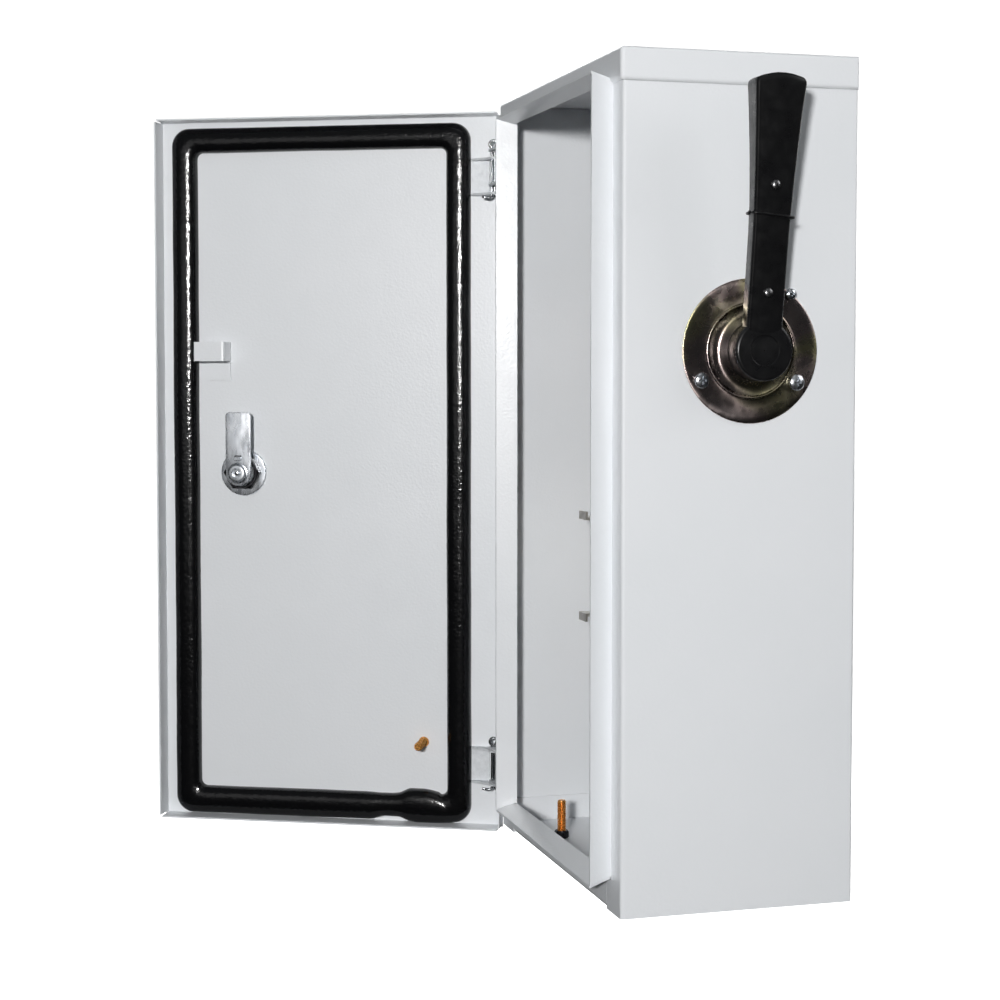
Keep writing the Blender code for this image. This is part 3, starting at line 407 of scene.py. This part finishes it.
def pan_head(bm, centre, axis, seat, radius, height, way=1.0):
    """Domed screw head with a cross recess sunk into its top; way is +1 or -1 along the axis."""
    segments = 48
    dome = [(radius * math.cos(a), height * (0.35 + 0.65 * math.sin(a)))
            for a in (math.radians(d) for d in (0, 15, 30, 45, 60))]
    rings = [(radius, 0.0)] + dome
    inner = [0.42, 0.34, 0.26, 0.18, 0.1, 0.02]
    rings += [(radius * r, height * (1.0 - 0.05 * r)) for r in inner]
    solid = []
    for n, (r, h) in enumerate(rings):
        ring = []
        for i in range(segments):
            a = 2 * math.pi * i / segments
            sunk = h
            if n >= len(rings) - len(inner):
                slot = min(abs(r * math.cos(a)), abs(r * math.sin(a)))
                if slot < radius * 0.11:
                    sunk = h - height * 0.45
            ring.append(on_axis(axis, centre[0] + r * math.cos(a), centre[1] + r * math.sin(a),
                                seat + way * sunk))
        solid.append(ring)
    skin(bm, solid, caps=True)


def piece(name, bm, slot, body, replaced=(), swung=False, sharp=35, bevel=0.0):
    """Finish a mesh in millimetres as a piece of the object that rides on a body."""
    bmesh.ops.recalc_face_normals(bm, faces=bm.faces)
    bmesh.ops.scale(bm, vec=(MM, MM, MM), verts=bm.verts)
    if swung:
        bmesh.ops.transform(bm, matrix=OPENED, verts=bm.verts)
    mesh = bpy.data.meshes.new(name)
    bm.to_mesh(mesh)
    bm.free()
    mesh.shade_smooth()
    mesh.set_sharp_from_angle(angle=math.radians(sharp))
    mesh.materials.append(MATERIALS[slot])
    made = bpy.data.objects.new(name, mesh)
    bpy.context.scene.collection.objects.link(made)
    if bevel:
        soften(made, bevel)
    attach(made, body)
    if replaced:
        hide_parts(*replaced)
    return made


def soften(item, width):
    """Round the sharp edges with a narrow bevel."""
    step = item.modifiers.new("rounded_edges", "BEVEL")
    step.width = width * MM
    step.segments = 2
    step.limit_method = "ANGLE"
    step.angle_limit = math.radians(50)
    step.harden_normals = True


# ---------------------------------------------------------------- door seal

SKIN_Y = -165.3
SEAL_OUT = (-100.8, 114.9, -250.6, 238.0, 12.4)
SEAL_IN = (-83.8, 96.6, -231.2, 220.6, 4.4)
SEAL_HEIGHT = 7.4
SEAL_JOIN = (-70.0, -61.0)
SEAL_NECK = (-46.0, -38.0)


def rounded_rectangle(x0, x1, z0, z1, radius, per_corner, per_side):
    """Evenly numbered points of a rounded rectangle, so that two of them can be joined."""
    corners = ((x1 - radius, z1 - radius, 0), (x0 + radius, z1 - radius, 90),
               (x0 + radius, z0 + radius, 180), (x1 - radius, z0 + radius, 270))
    points = []
    for n, (cx, cz, start) in enumerate(corners):
        bend = arc(cx, cz, radius, start, start + 90, per_corner)
        points += bend
        nx, nz, begin = corners[(n + 1) % 4]
        after = arc(nx, nz, radius, begin, begin, 1)[0]
        steps = per_side[n % 2]
        for k in range(1, steps):
            points.append(tuple(Vector(bend[-1]).lerp(Vector(after), k / steps)))
    return points


def hump(x, low, high, ramp_low, ramp_high):
    """1 between low and high, easing to 0 over a ramp on either side."""
    f = max(0.0, min(1.0, (x - low) / ramp_low + 1.0, (high - x) / ramp_high + 1.0))
    return f * f * (3 - 2 * f)


def door_seal():
    """Foam strip laid by hand: slightly wavy, lumpy along its crown, overlapped at its join."""
    outer = rounded_rectangle(*SEAL_OUT, 8, (90, 200))
    inner = rounded_rectangle(*SEAL_IN, 8, (90, 200))
    bm = bmesh.new()
    rings = []
    for (ox, oz), (ix, iz) in zip(outer, inner):
        out = Vector((ox, 0.0, oz))
        into = Vector((ix, 0.0, iz))
        middle = (out + into) / 2
        width = (into - out)
        sway = noise.noise(middle * 0.012 + Vector((7.0, 0, 0))) * 0.35
        breath = 1.0 + 0.02 * noise.noise(middle * 0.03)
        lump = 0.15 * noise.noise(middle * 0.05) + 0.05 * noise.noise(middle * 0.3)
        height = SEAL_HEIGHT + lump
        if oz < SEAL_OUT[2] + 3 and abs(middle.x) < 82:
            swell = hump(middle.x, *SEAL_JOIN, 22.0, 10.0)
            neck = hump(middle.x, *SEAL_NECK, 8.0, 12.0)
            into = into + Vector((0, 0, 3.4 * swell - 0.6 * neck))
            out = out + Vector((0, 0, 2.6 * neck - 1.2 * swell))
            width = into - out
            middle = (out + into) / 2
            height += 0.6 * swell - 0.4 * neck
        middle = middle + width.normalized() * sway
        ring = []
        for k in range(17):
            a = math.pi * k / 16
            across = -math.cos(a) * 0.5
            up = math.sin(a) ** 0.62
            spot = middle + width * (across * breath)
            ring.append((spot.x, SKIN_Y + 0.3 + height * up, spot.z))
        rings.append(ring)
    skin(bm, rings, closed=True)
    seal = piece("seal_strip", bm, "gasket", "door", ["gasket"], swung=True, sharp=60)
    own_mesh(seal)


# ---------------------------------------------------------------- door lock

LOCK_X = LOCK.x / MM
LOCK_Z = LOCK.z / MM
CAM_Y = -152.4
CAM_T = 2.0
CAM_HALF = 9.0
CAM_REACH = 42.8


def lock_set():
    """Bright ring, dark nut, threaded body, and the turning cam with its screw."""
    at = (LOCK_X, LOCK_Z)
    base = SKIN_Y + 0.3
    bm = bmesh.new()
    profile = [(9.8, base), (16.5, base), (16.5, base + 1.1)]
    profile += [(15.8 + 0.7 * math.cos(a), base + 1.1 + 0.7 * math.sin(a))
                for a in (math.radians(15 * k) for k in range(1, 7))]
    profile += [(9.8, base + 1.8)]
    turned(bm, profile, at, "Y", 96)
    piece("lock_ring", bm, "zinc", "door", ["lock_washer"], swung=True)

    bm = bmesh.new()
    hex_nut(bm, at, "Y", base + 1.9, base + 7.9, 22.6, 9.8)
    piece("lock_hex_nut", bm, "dark_steel", "door", ["lock_nut"], swung=True, sharp=25)

    bm = bmesh.new()
    face = -166.5 - 0.3
    profile = [(6.3, face - 1.6), (7.2, face - 2.0), (11.5, face - 2.0)]
    profile += [(11.5 + math.sin(a), face - 1.0 - math.cos(a))
                for a in (math.radians(15 * k) for k in range(1, 7))]
    profile += [(12.5, face), (9.1, face), (9.1, CAM_Y - 1.6), (8.7, CAM_Y - 1.2), (6.3, CAM_Y - 1.2)]
    turned(bm, profile, at, "Y", 64)
    thread_low = base + 0.1
    steps = int((CAM_Y - 1.9 - thread_low) / 0.2)
    rings = []
    for k in range(steps + 1):
        y = thread_low + (CAM_Y - 1.9 - thread_low) * k / steps
        wave = abs((y / 1.0 % 1.0) * 2 - 1)
        rings.append([on_axis("Y", u, v, y) for u, v in circle(*at, 9.0 + 0.5 * wave, 48)])
    skin(bm, rings, caps=True)
    piece("lock_barrel", bm, "zinc", "door", ["lock_body"], swung=True, sharp=30)

    bm = bmesh.new()
    outline = arc(LOCK_X + CAM_HALF - 2.6, LOCK_Z + CAM_REACH - 2.6, 2.6, 0, 90, 6)
    outline += arc(LOCK_X - CAM_HALF + 2.6, LOCK_Z + CAM_REACH - 2.6, 2.6, 90, 180, 6)
    outline += arc(LOCK_X, LOCK_Z, CAM_HALF, 180, 360, 28)
    extruded(bm, outline, CAM_Y, CAM_Y + CAM_T, "Y")
    bmesh.ops.recalc_face_normals(bm, faces=bm.faces)
    rim = [e for e in bm.edges if abs(e.verts[0].co.y - e.verts[1].co.y) < 0.01]
    bmesh.ops.bevel(bm, geom=rim, offset=0.35, segments=3, profile=0.6, affect="EDGES")
    piece("cam_plate", bm, "zinc", "lock", ["lock_cam"], swung=True, sharp=40)

    bm = bmesh.new()
    outline = arc(LOCK_X + 1.6, LOCK_Z + 10.1, 1.3, -90, 90, 8)
    outline += arc(LOCK_X - 1.6, LOCK_Z + 10.1, 1.3, 90, 270, 8)
    extruded(bm, outline, CAM_Y + CAM_T - 0.4, CAM_Y + CAM_T + 1.3, "Y")
    piece("cam_stop_mark", bm, "zinc", "lock", swung=True, bevel=0.3)

    # Painted shade: a thin dark plate just proud of the cam stands in for the shadowed opening of the lanced
    # stop's slit; no opening is cut.
    bm = bmesh.new()
    slit_shade_outline = [(LOCK_X - 2.8, LOCK_Z + 11.6), (LOCK_X + 2.8, LOCK_Z + 11.6),
            (LOCK_X + 2.4, LOCK_Z + 12.5), (LOCK_X - 2.4, LOCK_Z + 12.5)]
    extruded(bm, slit_shade_outline, CAM_Y + CAM_T - 0.4, CAM_Y + CAM_T + 0.08, "Y")
    piece("cam_stop_slit_painted_shade", bm, "dark_steel", "lock", swung=True)

    seat = CAM_Y + CAM_T + 0.3
    bm = bmesh.new()
    profile = [(1.0, seat), (7.2, seat), (7.4, seat + 0.3), (7.2, seat + 0.9), (6.5, seat + 1.1),
               (6.3, seat + 1.0), (6.3, seat + 3.0)]
    profile += [(5.1 + 1.2 * math.cos(a), seat + 3.0 + 1.2 * math.sin(a))
                for a in (math.radians(15 * k) for k in range(1, 7))]
    profile += [(3.4, seat + 4.2), (3.1, seat + 3.9), (3.0, seat + 1.0), (1.7, seat + 1.0),
                (1.5, seat + 3.1), (1.2, seat + 3.3), (0.0, seat + 3.4)]
    turned(bm, profile, at, "Y", 64)
    piece("cam_cap_screw", bm, "zinc", "lock", ["cam_screw"], swung=True, sharp=32)


# ---------------------------------------------------------------- studs and hinges

PIN = (HINGE.x / MM, HINGE.y / MM)
PIN_ENDS = ((185.6, 220.6), (-224.0, -191.6))
PIN_EYE_TURN = math.radians(74.5)
WIRE_R = 0.95
EYE_R = 2.5
EYE_START = -118
EYE_SWEEP = 236
COTTER_ENDS = 4.4


def cotter(label, low, high, eye_turn):
    """Split cotter: one wire up, round its eye and down again, with its two ends bent away."""
    side = Vector((math.cos(eye_turn), math.sin(eye_turn), 0.0))
    centre = Vector((PIN[0], PIN[1], 0.0))
    up = Vector((0, 0, 1))
    straight = high - low - COTTER_ENDS
    bent_leg = ((6.2, 0.2), (4.2, -0.2), (2.2, -0.35), (0.9, 0.1), (0.15, 1.2), (0.0, 2.4))
    path = [centre - side * (WIRE_R + reach) + up * (low + drop) for reach, drop in bent_leg]
    path += [centre - side * WIRE_R + up * (low + 2.4 + straight * k / 6) for k in range(1, 7)]
    for k in range(15):
        a = math.radians(EYE_START - EYE_SWEEP * k / 14)
        path.append(centre + side * (EYE_R * math.cos(a)) + up * (high + 1.0 + EYE_R * math.sin(a)))
    path += [centre + side * WIRE_R + up * (high - 2.0 - straight * k / 6) for k in range(7)]
    path += [centre + side * (WIRE_R + reach) + up * (low + rise)
             for reach, rise in ((0.3, 1.0), (1.2, -0.4))]
    bm = bmesh.new()
    wire(bm, path, WIRE_R)
    made = piece(f"hinge_cotter_{label}", bm, "zinc", "case", [f"hinge_pin_{label}"], sharp=60)
    made.data.materials[0] = PIN_STEEL


DOOR_STUD = (-66.7, -194.6)
FLOOR_STUD = (-67.0, -121.0)
FLOOR_Z = -250.0
M6 = (3.0, 1.0)


def earth_studs():
    """Welded, copper-plated studs with rolled threads, and the nut of the lower one."""
    bm = bmesh.new()
    base = SKIN_Y + 0.3
    turned(bm, [(0.5, base), (3.7, base), (3.5, base + 0.5), (3.0, base + 1.0), (2.8, base + 1.8),
                (0.5, base + 1.8)], DOOR_STUD, "Y", 32)
    thread(bm, DOOR_STUD, "Y", base + 1.5, base + 19.6, *M6)
    piece("door_stud_thread", bm, "copper", "door", ["door_earth_stud"], swung=True, sharp=40)

    bm = bmesh.new()
    turned(bm, [(0.5, FLOOR_Z - 2.4), (4.6, FLOOR_Z - 2.4), (5.0, FLOOR_Z - 2.0),
                (5.0, FLOOR_Z - 0.3), (0.5, FLOOR_Z - 0.3)], FLOOR_STUD, "Z", 32)
    thread(bm, FLOOR_STUD, "Z", FLOOR_Z - 0.4, FLOOR_Z + 27.1, *M6)
    piece("floor_stud_thread", bm, "copper", "case", ["floor_earth_stud"], sharp=40)

    bm = bmesh.new()
    hex_nut(bm, FLOOR_STUD, "Z", FLOOR_Z + 1.8, FLOOR_Z + 6.8, 8.6, 3.05)
    piece("floor_stud_nut", bm, "dark_steel", "case", ["floor_earth_nut"], sharp=25)


# ---------------------------------------------------------------- handle

SIDE_X = 125.0
AXLE = (SHAFT.y / MM, SHAFT.z / MM)
PLATE_R = 42.0
HUB_R = 17.5
LEVER_TOP = 154.0
LEVER_CROWN = 3.0
LEVER_FOOT_X = 145.9
LEVER_LEAN = 0.16
RIVET_HEIGHTS = (("upper", 92.6), ("lower", 32.6))
TIE_HEIGHT = 76.0
TIE_R = 0.9
TIE_OFF = 0.7
TIE_SQUARE = 1.35
TIE_TILT = 0.11


def lever_section(height):
    """Half width, thickness and outer face X of the lever at a height above the shaft."""
    half = 11.0 + 4.2 * max(0.0, (height - 60.0) / 90.0) ** 1.5
    thick = 9.6 + 5.0 * max(0.0, (height - 82.0) / 66.0) ** 1.2
    return half, thick, LEVER_FOOT_X + LEVER_LEAN * height


def lever_ring(height, inset=0.0, rise=0.0):
    """One rounded, slightly crowned cross-section of the lever."""
    half, thick, face = lever_section(height)
    half -= inset
    face -= inset * 0.8
    thick -= inset * 1.6
    big = min(2.6, half * 0.5)
    small = 1.0
    back = face - thick
    outline = arc(face - big, half - big, big, 0, 90, 6)
    outline += arc(back + small, half - small, small, 90, 180, 4)
    outline += arc(back + small, small - half, small, 180, 270, 4)
    outline += arc(face - big, big - half, big, 270, 360, 6)
    outline += [(face, y * (half - big)) for y in (-0.6, -0.2, 0.2, 0.6)]
    ring = []
    for x, y in outline:
        x -= 0.45 * (y / half) ** 2 if x > face - 0.1 else 0.0
        sag = LEVER_CROWN * (y / half) ** 2 if height > LEVER_TOP - 18 else 0.0
        sag *= max(0.0, (height - LEVER_TOP + 18) / 18)
        ring.append((x, AXLE[0] + y, AXLE[1] + height + rise - sag))
    return ring


def handle():
    """Moulded lever with a filleted top, its round hub and two rivets."""
    bm = bmesh.new()
    rings = [lever_ring(h) for h in (0, 8, 14, 22, 32, 44, 56, 66, 74, 82, 90, 98, 106, 114, 122, 130,
                                     136, 141, 145, 148, 150)]
    fillet = 3.4
    for k in range(1, 7):
        a = math.radians(15 * k)
        rings.append(lever_ring(LEVER_TOP - fillet, fillet * (1 - math.cos(a)) * 0.8,
                                fillet * math.sin(a)))
    skin(bm, rings, caps=True)
    profile = [(0.5, 133.4), (17.0, 133.4), (HUB_R, 133.9), (HUB_R, 145.4)]
    profile += [(HUB_R - 2.0 + 2.0 * math.cos(a), 145.4 + 2.0 * math.sin(a))
                for a in (math.radians(15 * k) for k in range(1, 7))]
    profile += [(9.0, 147.5), (8.6, 147.1), (0.5, 147.1)]
    turned(bm, profile, AXLE, "X", 72)
    piece("lever_moulding", bm, "handle_black", "switch", ["handle_lever"], sharp=30)

    for label, height in RIVET_HEIGHTS:
        face = lever_section(height)[2]
        bm = bmesh.new()
        profile = [(0.3, face + 0.05), (2.9, face + 0.05), (2.9, face + 0.4)]
        profile += [(2.9 * math.cos(a), face + 0.4 + 1.5 * math.sin(a))
                    for a in (math.radians(15 * k) for k in range(1, 6))]
        turned(bm, profile + [(0.3, face + 1.9)], (AXLE[0], AXLE[1] + height), "X", 32)
        rivet = piece(f"lever_rivet_{label}", bm, "dark_steel", "switch", [f"handle_rivet_{label}"],
                      sharp=50)
        rivet.data.materials[0] = RIVET_STEEL

    height = TIE_HEIGHT
    half, thick, face = lever_section(height)
    bm = bmesh.new()
    middle = face - thick / 2
    path = []
    for k in range(37):
        a = math.radians(10 * k + 200)
        x = middle + (thick / 2 + TIE_OFF) * max(-1, min(1, TIE_SQUARE * math.cos(a)))
        y = (half + TIE_OFF) * max(-1, min(1, TIE_SQUARE * math.sin(a)))
        path.append((x, AXLE[0] + y, AXLE[1] + height - TIE_TILT * y))
    wire(bm, path, TIE_R, 10)
    tail = ((0.0, 0.6, 1.4), (1.4, 2.0, 1.6), (2.2, 2.6, 0.8))
    wire(bm, [(middle + x, AXLE[0] - half - y, AXLE[1] + height + z) for x, y, z in tail], TIE_R, 10)
    piece("lever_tie", bm, "handle_black", "switch", sharp=60)


def bead(radius, height, size, steps=6):
    """Half-round ridge on a turned plate, listed outwards."""
    return [(radius - size * math.cos(a), height + size * math.sin(a))
            for a in (math.pi * k / steps for k in range(steps + 1))]


# Each screw's name, distance from the axle, angle and head radius
PLATE_SCREWS = (
    ("plate_screw_front", 35.0, -29.0, 4.6),
    ("plate_screw_rear", 33.8, -147.4, 4.8),
    ("plate_screw_top", 35.0, 92.0, 4.6),
    ("stop_screw", 41.1, 126.4, 3.4),
)


def plate():
    """Dished plate with its bead and boss, three cross-recessed screws and the stop screw."""
    x = SIDE_X + 0.3
    profile = [(12.3, x + 0.4), (12.3, x + 6.6), (13.0, x + 7.0), (14.2, x + 6.7), (15.8, x + 5.6),
               (17.4, x + 4.2), (18.8, x + 2.9), (20.2, x + 1.9), (22.0, x + 1.4), (25.2, x + 1.3)]
    profile += bead(27.0, x + 1.5, 1.1)
    profile += [(29.0, x + 1.25), (33.0, x + 1.35), (38.0, x + 1.35), (PLATE_R - 0.9, x + 1.2),
                (PLATE_R - 0.2, x + 0.9), (PLATE_R, x + 0.5), (PLATE_R - 0.4, x), (28.0, x), (14.5, x + 0.4)]
    bm = bmesh.new()
    turned(bm, profile, AXLE, "X", 128)
    piece("dished_plate", bm, "chromate", "case", ["handle_plate"], sharp=40)
    for label, radius, degrees, size in PLATE_SCREWS:
        a = math.radians(degrees)
        at = (AXLE[0] - radius * math.cos(a), AXLE[1] + radius * math.sin(a))
        bm = bmesh.new()
        pan_head(bm, at, "X", x + 1.9, size, 2.6)
        piece(f"{label}_head", bm, "zinc", "case", [label], sharp=40)


# ---------------------------------------------------------------- inside the case

POLES = (-60.0, 0.0, 60.0)
LINE_BOLT_Z = 136.5
LOAD_BOLT_Z = -136.5
BOARD_FRONT = -28.0
BOARD_SCREWS = [(x, z) for z in (140.0, -125.0) for x in (-80.0, 80.0)]


def terminal_bolts():
    """Hex bolts with washers that clamp the cable lugs on the terminals of each pole."""
    for number, x in enumerate(POLES, 1):
        for label, z in (("line", LINE_BOLT_Z), ("load", LOAD_BOLT_Z)):
            at = (x, z)
            seat = BOARD_FRONT - 2.6
            bm = bmesh.new()
            turned(bm, [(3.0, seat - 1.4), (8.4, seat - 1.4), (8.6, seat - 1.1), (8.6, seat - 0.2),
                        (8.3, seat), (3.0, seat)], at, "Y", 48)
            hex_nut(bm, at, "Y", seat - 7.0, seat - 1.5, 13.0, 4.0)
            thread(bm, at, "Y", seat - 11.0, seat - 1.0, 4.0, 1.25)
            piece(f"terminal_bolt_{label}_{number}", bm, "zinc", "case", sharp=30)


def board_screws():
    for number, at in enumerate(BOARD_SCREWS, 1):
        bm = bmesh.new()
        pan_head(bm, at, "Y", BOARD_FRONT - 0.3, 4.3, 2.7, -1.0)
        piece(f"board_screw_head_{number}", bm, "zinc", "case", [f"board_screw_{number}"], sharp=40)


def soften_frame():
    """Give the sheet and metal parts of the frame their slightly rounded edges."""
    sheet = ("box_body", "roof_cap", "bottom_tray", "door_pan", "door_hook")
    small = [name for name in NODES if name.startswith(("hinge_bracket", "line_", "link_", "load_",
             "switch_blade", "fuse_", "rotor", "mounting_rail", "interlock", "insulating"))]
    for name in sheet:
        soften(NODES[name], 0.5 if name == "door_hook" else 0.3)
    for name in small:
        soften(NODES[name], 0.25)


# ---------------------------------------------------------------- studio

CAMERA_AT = Vector((1.16968, -0.51235, 0.06576))
CAMERA_YAW = math.radians(74.28)
CAMERA_PITCH = math.radians(-2.84)


# Each lamp's name, place, aim, diameter, power and colour
WHITE = (1, 1, 1)
LAMPS = (
    ("flash", (1.75, -0.95, 0.27), (0.0, -0.1, 0.0), 0.16, 29.0, (1.0, 0.992, 0.985)),
    ("ceiling", (1.2, -0.3, 1.9), (0.1, -0.1, 0.0), 1.4, 1.9, WHITE),
    ("right_bounce", (0.75, 1.15, 0.85), (0.12, -0.05, 0.0), 0.9, 6.2, WHITE),
    ("left_fill", (-2.2, 0.5, 0.7), (-0.1, 0.0, 0.0), 1.6, 26.0, WHITE),
    ("back_fill", (-1.6, 1.9, 0.6), (-0.05, 0.1, 0.0), 1.6, 24.0, WHITE),
    ("metal_card", (1.0, -1.4, 0.15), (-0.2, -0.3, 0.0), 0.6, 0.5, WHITE),
)
FLOOR_DROP = -0.62


def studio():
    scene = bpy.context.scene
    scene.view_settings.view_transform = "Standard"
    scene.view_settings.look = "None"
    look = Vector((-math.sin(CAMERA_YAW) * math.cos(CAMERA_PITCH),
                   math.cos(CAMERA_YAW) * math.cos(CAMERA_PITCH), math.sin(CAMERA_PITCH)))
    data = bpy.data.cameras.new("camera")
    data.sensor_width = 36.0
    data.lens = 69.81
    data.shift_y = -0.0316
    camera = bpy.data.objects.new("camera", data)
    scene.collection.objects.link(camera)
    camera.location = CAMERA_AT
    camera.rotation_euler = look.to_track_quat("-Z", "Y").to_euler()
    scene.camera = camera

    world = bpy.data.worlds.new("studio")
    world.use_nodes = True
    tree = world.node_tree
    background = tree.nodes["Background"]
    background.inputs["Color"].default_value = (0.88, 0.95, 1.0, 1.0)
    up = tree.nodes.new("ShaderNodeSeparateXYZ")
    tree.links.new(tree.nodes.new("ShaderNodeTexCoord").outputs["Generated"], up.inputs["Vector"])
    sky = tree.nodes.new("ShaderNodeMapRange")
    sky.inputs["From Min"].default_value = -0.2
    sky.inputs["From Max"].default_value = 0.4
    sky.inputs["To Min"].default_value = 0.015
    sky.inputs["To Max"].default_value = 0.09
    tree.links.new(up.outputs["Z"], sky.inputs["Value"])
    tree.links.new(sky.outputs["Result"], background.inputs["Strength"])
    scene.world = world

    for name, at, towards, size, power, colour in LAMPS:
        lamp = bpy.data.lights.new(name, "AREA")
        lamp.shape = "DISK"
        lamp.size = size
        lamp.energy = power
        lamp.color = colour
        made = bpy.data.objects.new(name, lamp)
        scene.collection.objects.link(made)
        made.location = at
        made.rotation_euler = (Vector(towards) - Vector(at)).to_track_quat("-Z", "Y").to_euler()

    white = Shader("backdrop_white", (0.9, 0.9, 0.9), 0.9)
    white.bsdf.inputs["Emission Color"].default_value = (1, 1, 1, 1)
    white.bsdf.inputs["Emission Strength"].default_value = 1.0
    bm = bmesh.new()
    profile = [(0.5, FLOOR_DROP), (2.6, FLOOR_DROP)]
    profile += [(2.6 + 1.2 * math.sin(a), FLOOR_DROP + 1.2 * (1 - math.cos(a)))
                for a in (math.radians(10 * k) for k in range(1, 10))]
    profile += [(3.8, 5.0), (2.4, 6.4), (0.5, 7.0)]
    skin(bm, [[(u, v, z) for u, v in circle(0.0, 0.0, radius, 72)] for radius, z in profile],
         caps=True)
    mesh = bpy.data.meshes.new("backdrop")
    bm.to_mesh(mesh)
    bm.free()
    mesh.shade_smooth()
    mesh.materials.append(white.material)
    floor = bpy.data.objects.new("backdrop", mesh)
    scene.collection.objects.link(floor)
    floor.visible_diffuse = False
    floor.visible_glossy = False
    floor.visible_shadow = False


dress_frame()
soften_frame()
door_seal()
lock_set()
for label, (low, high) in zip(("upper", "lower"), PIN_ENDS):
    cotter(label, low, high, PIN_EYE_TURN)
earth_studs()
handle()
plate()
terminal_bolts()
board_screws()
studio()
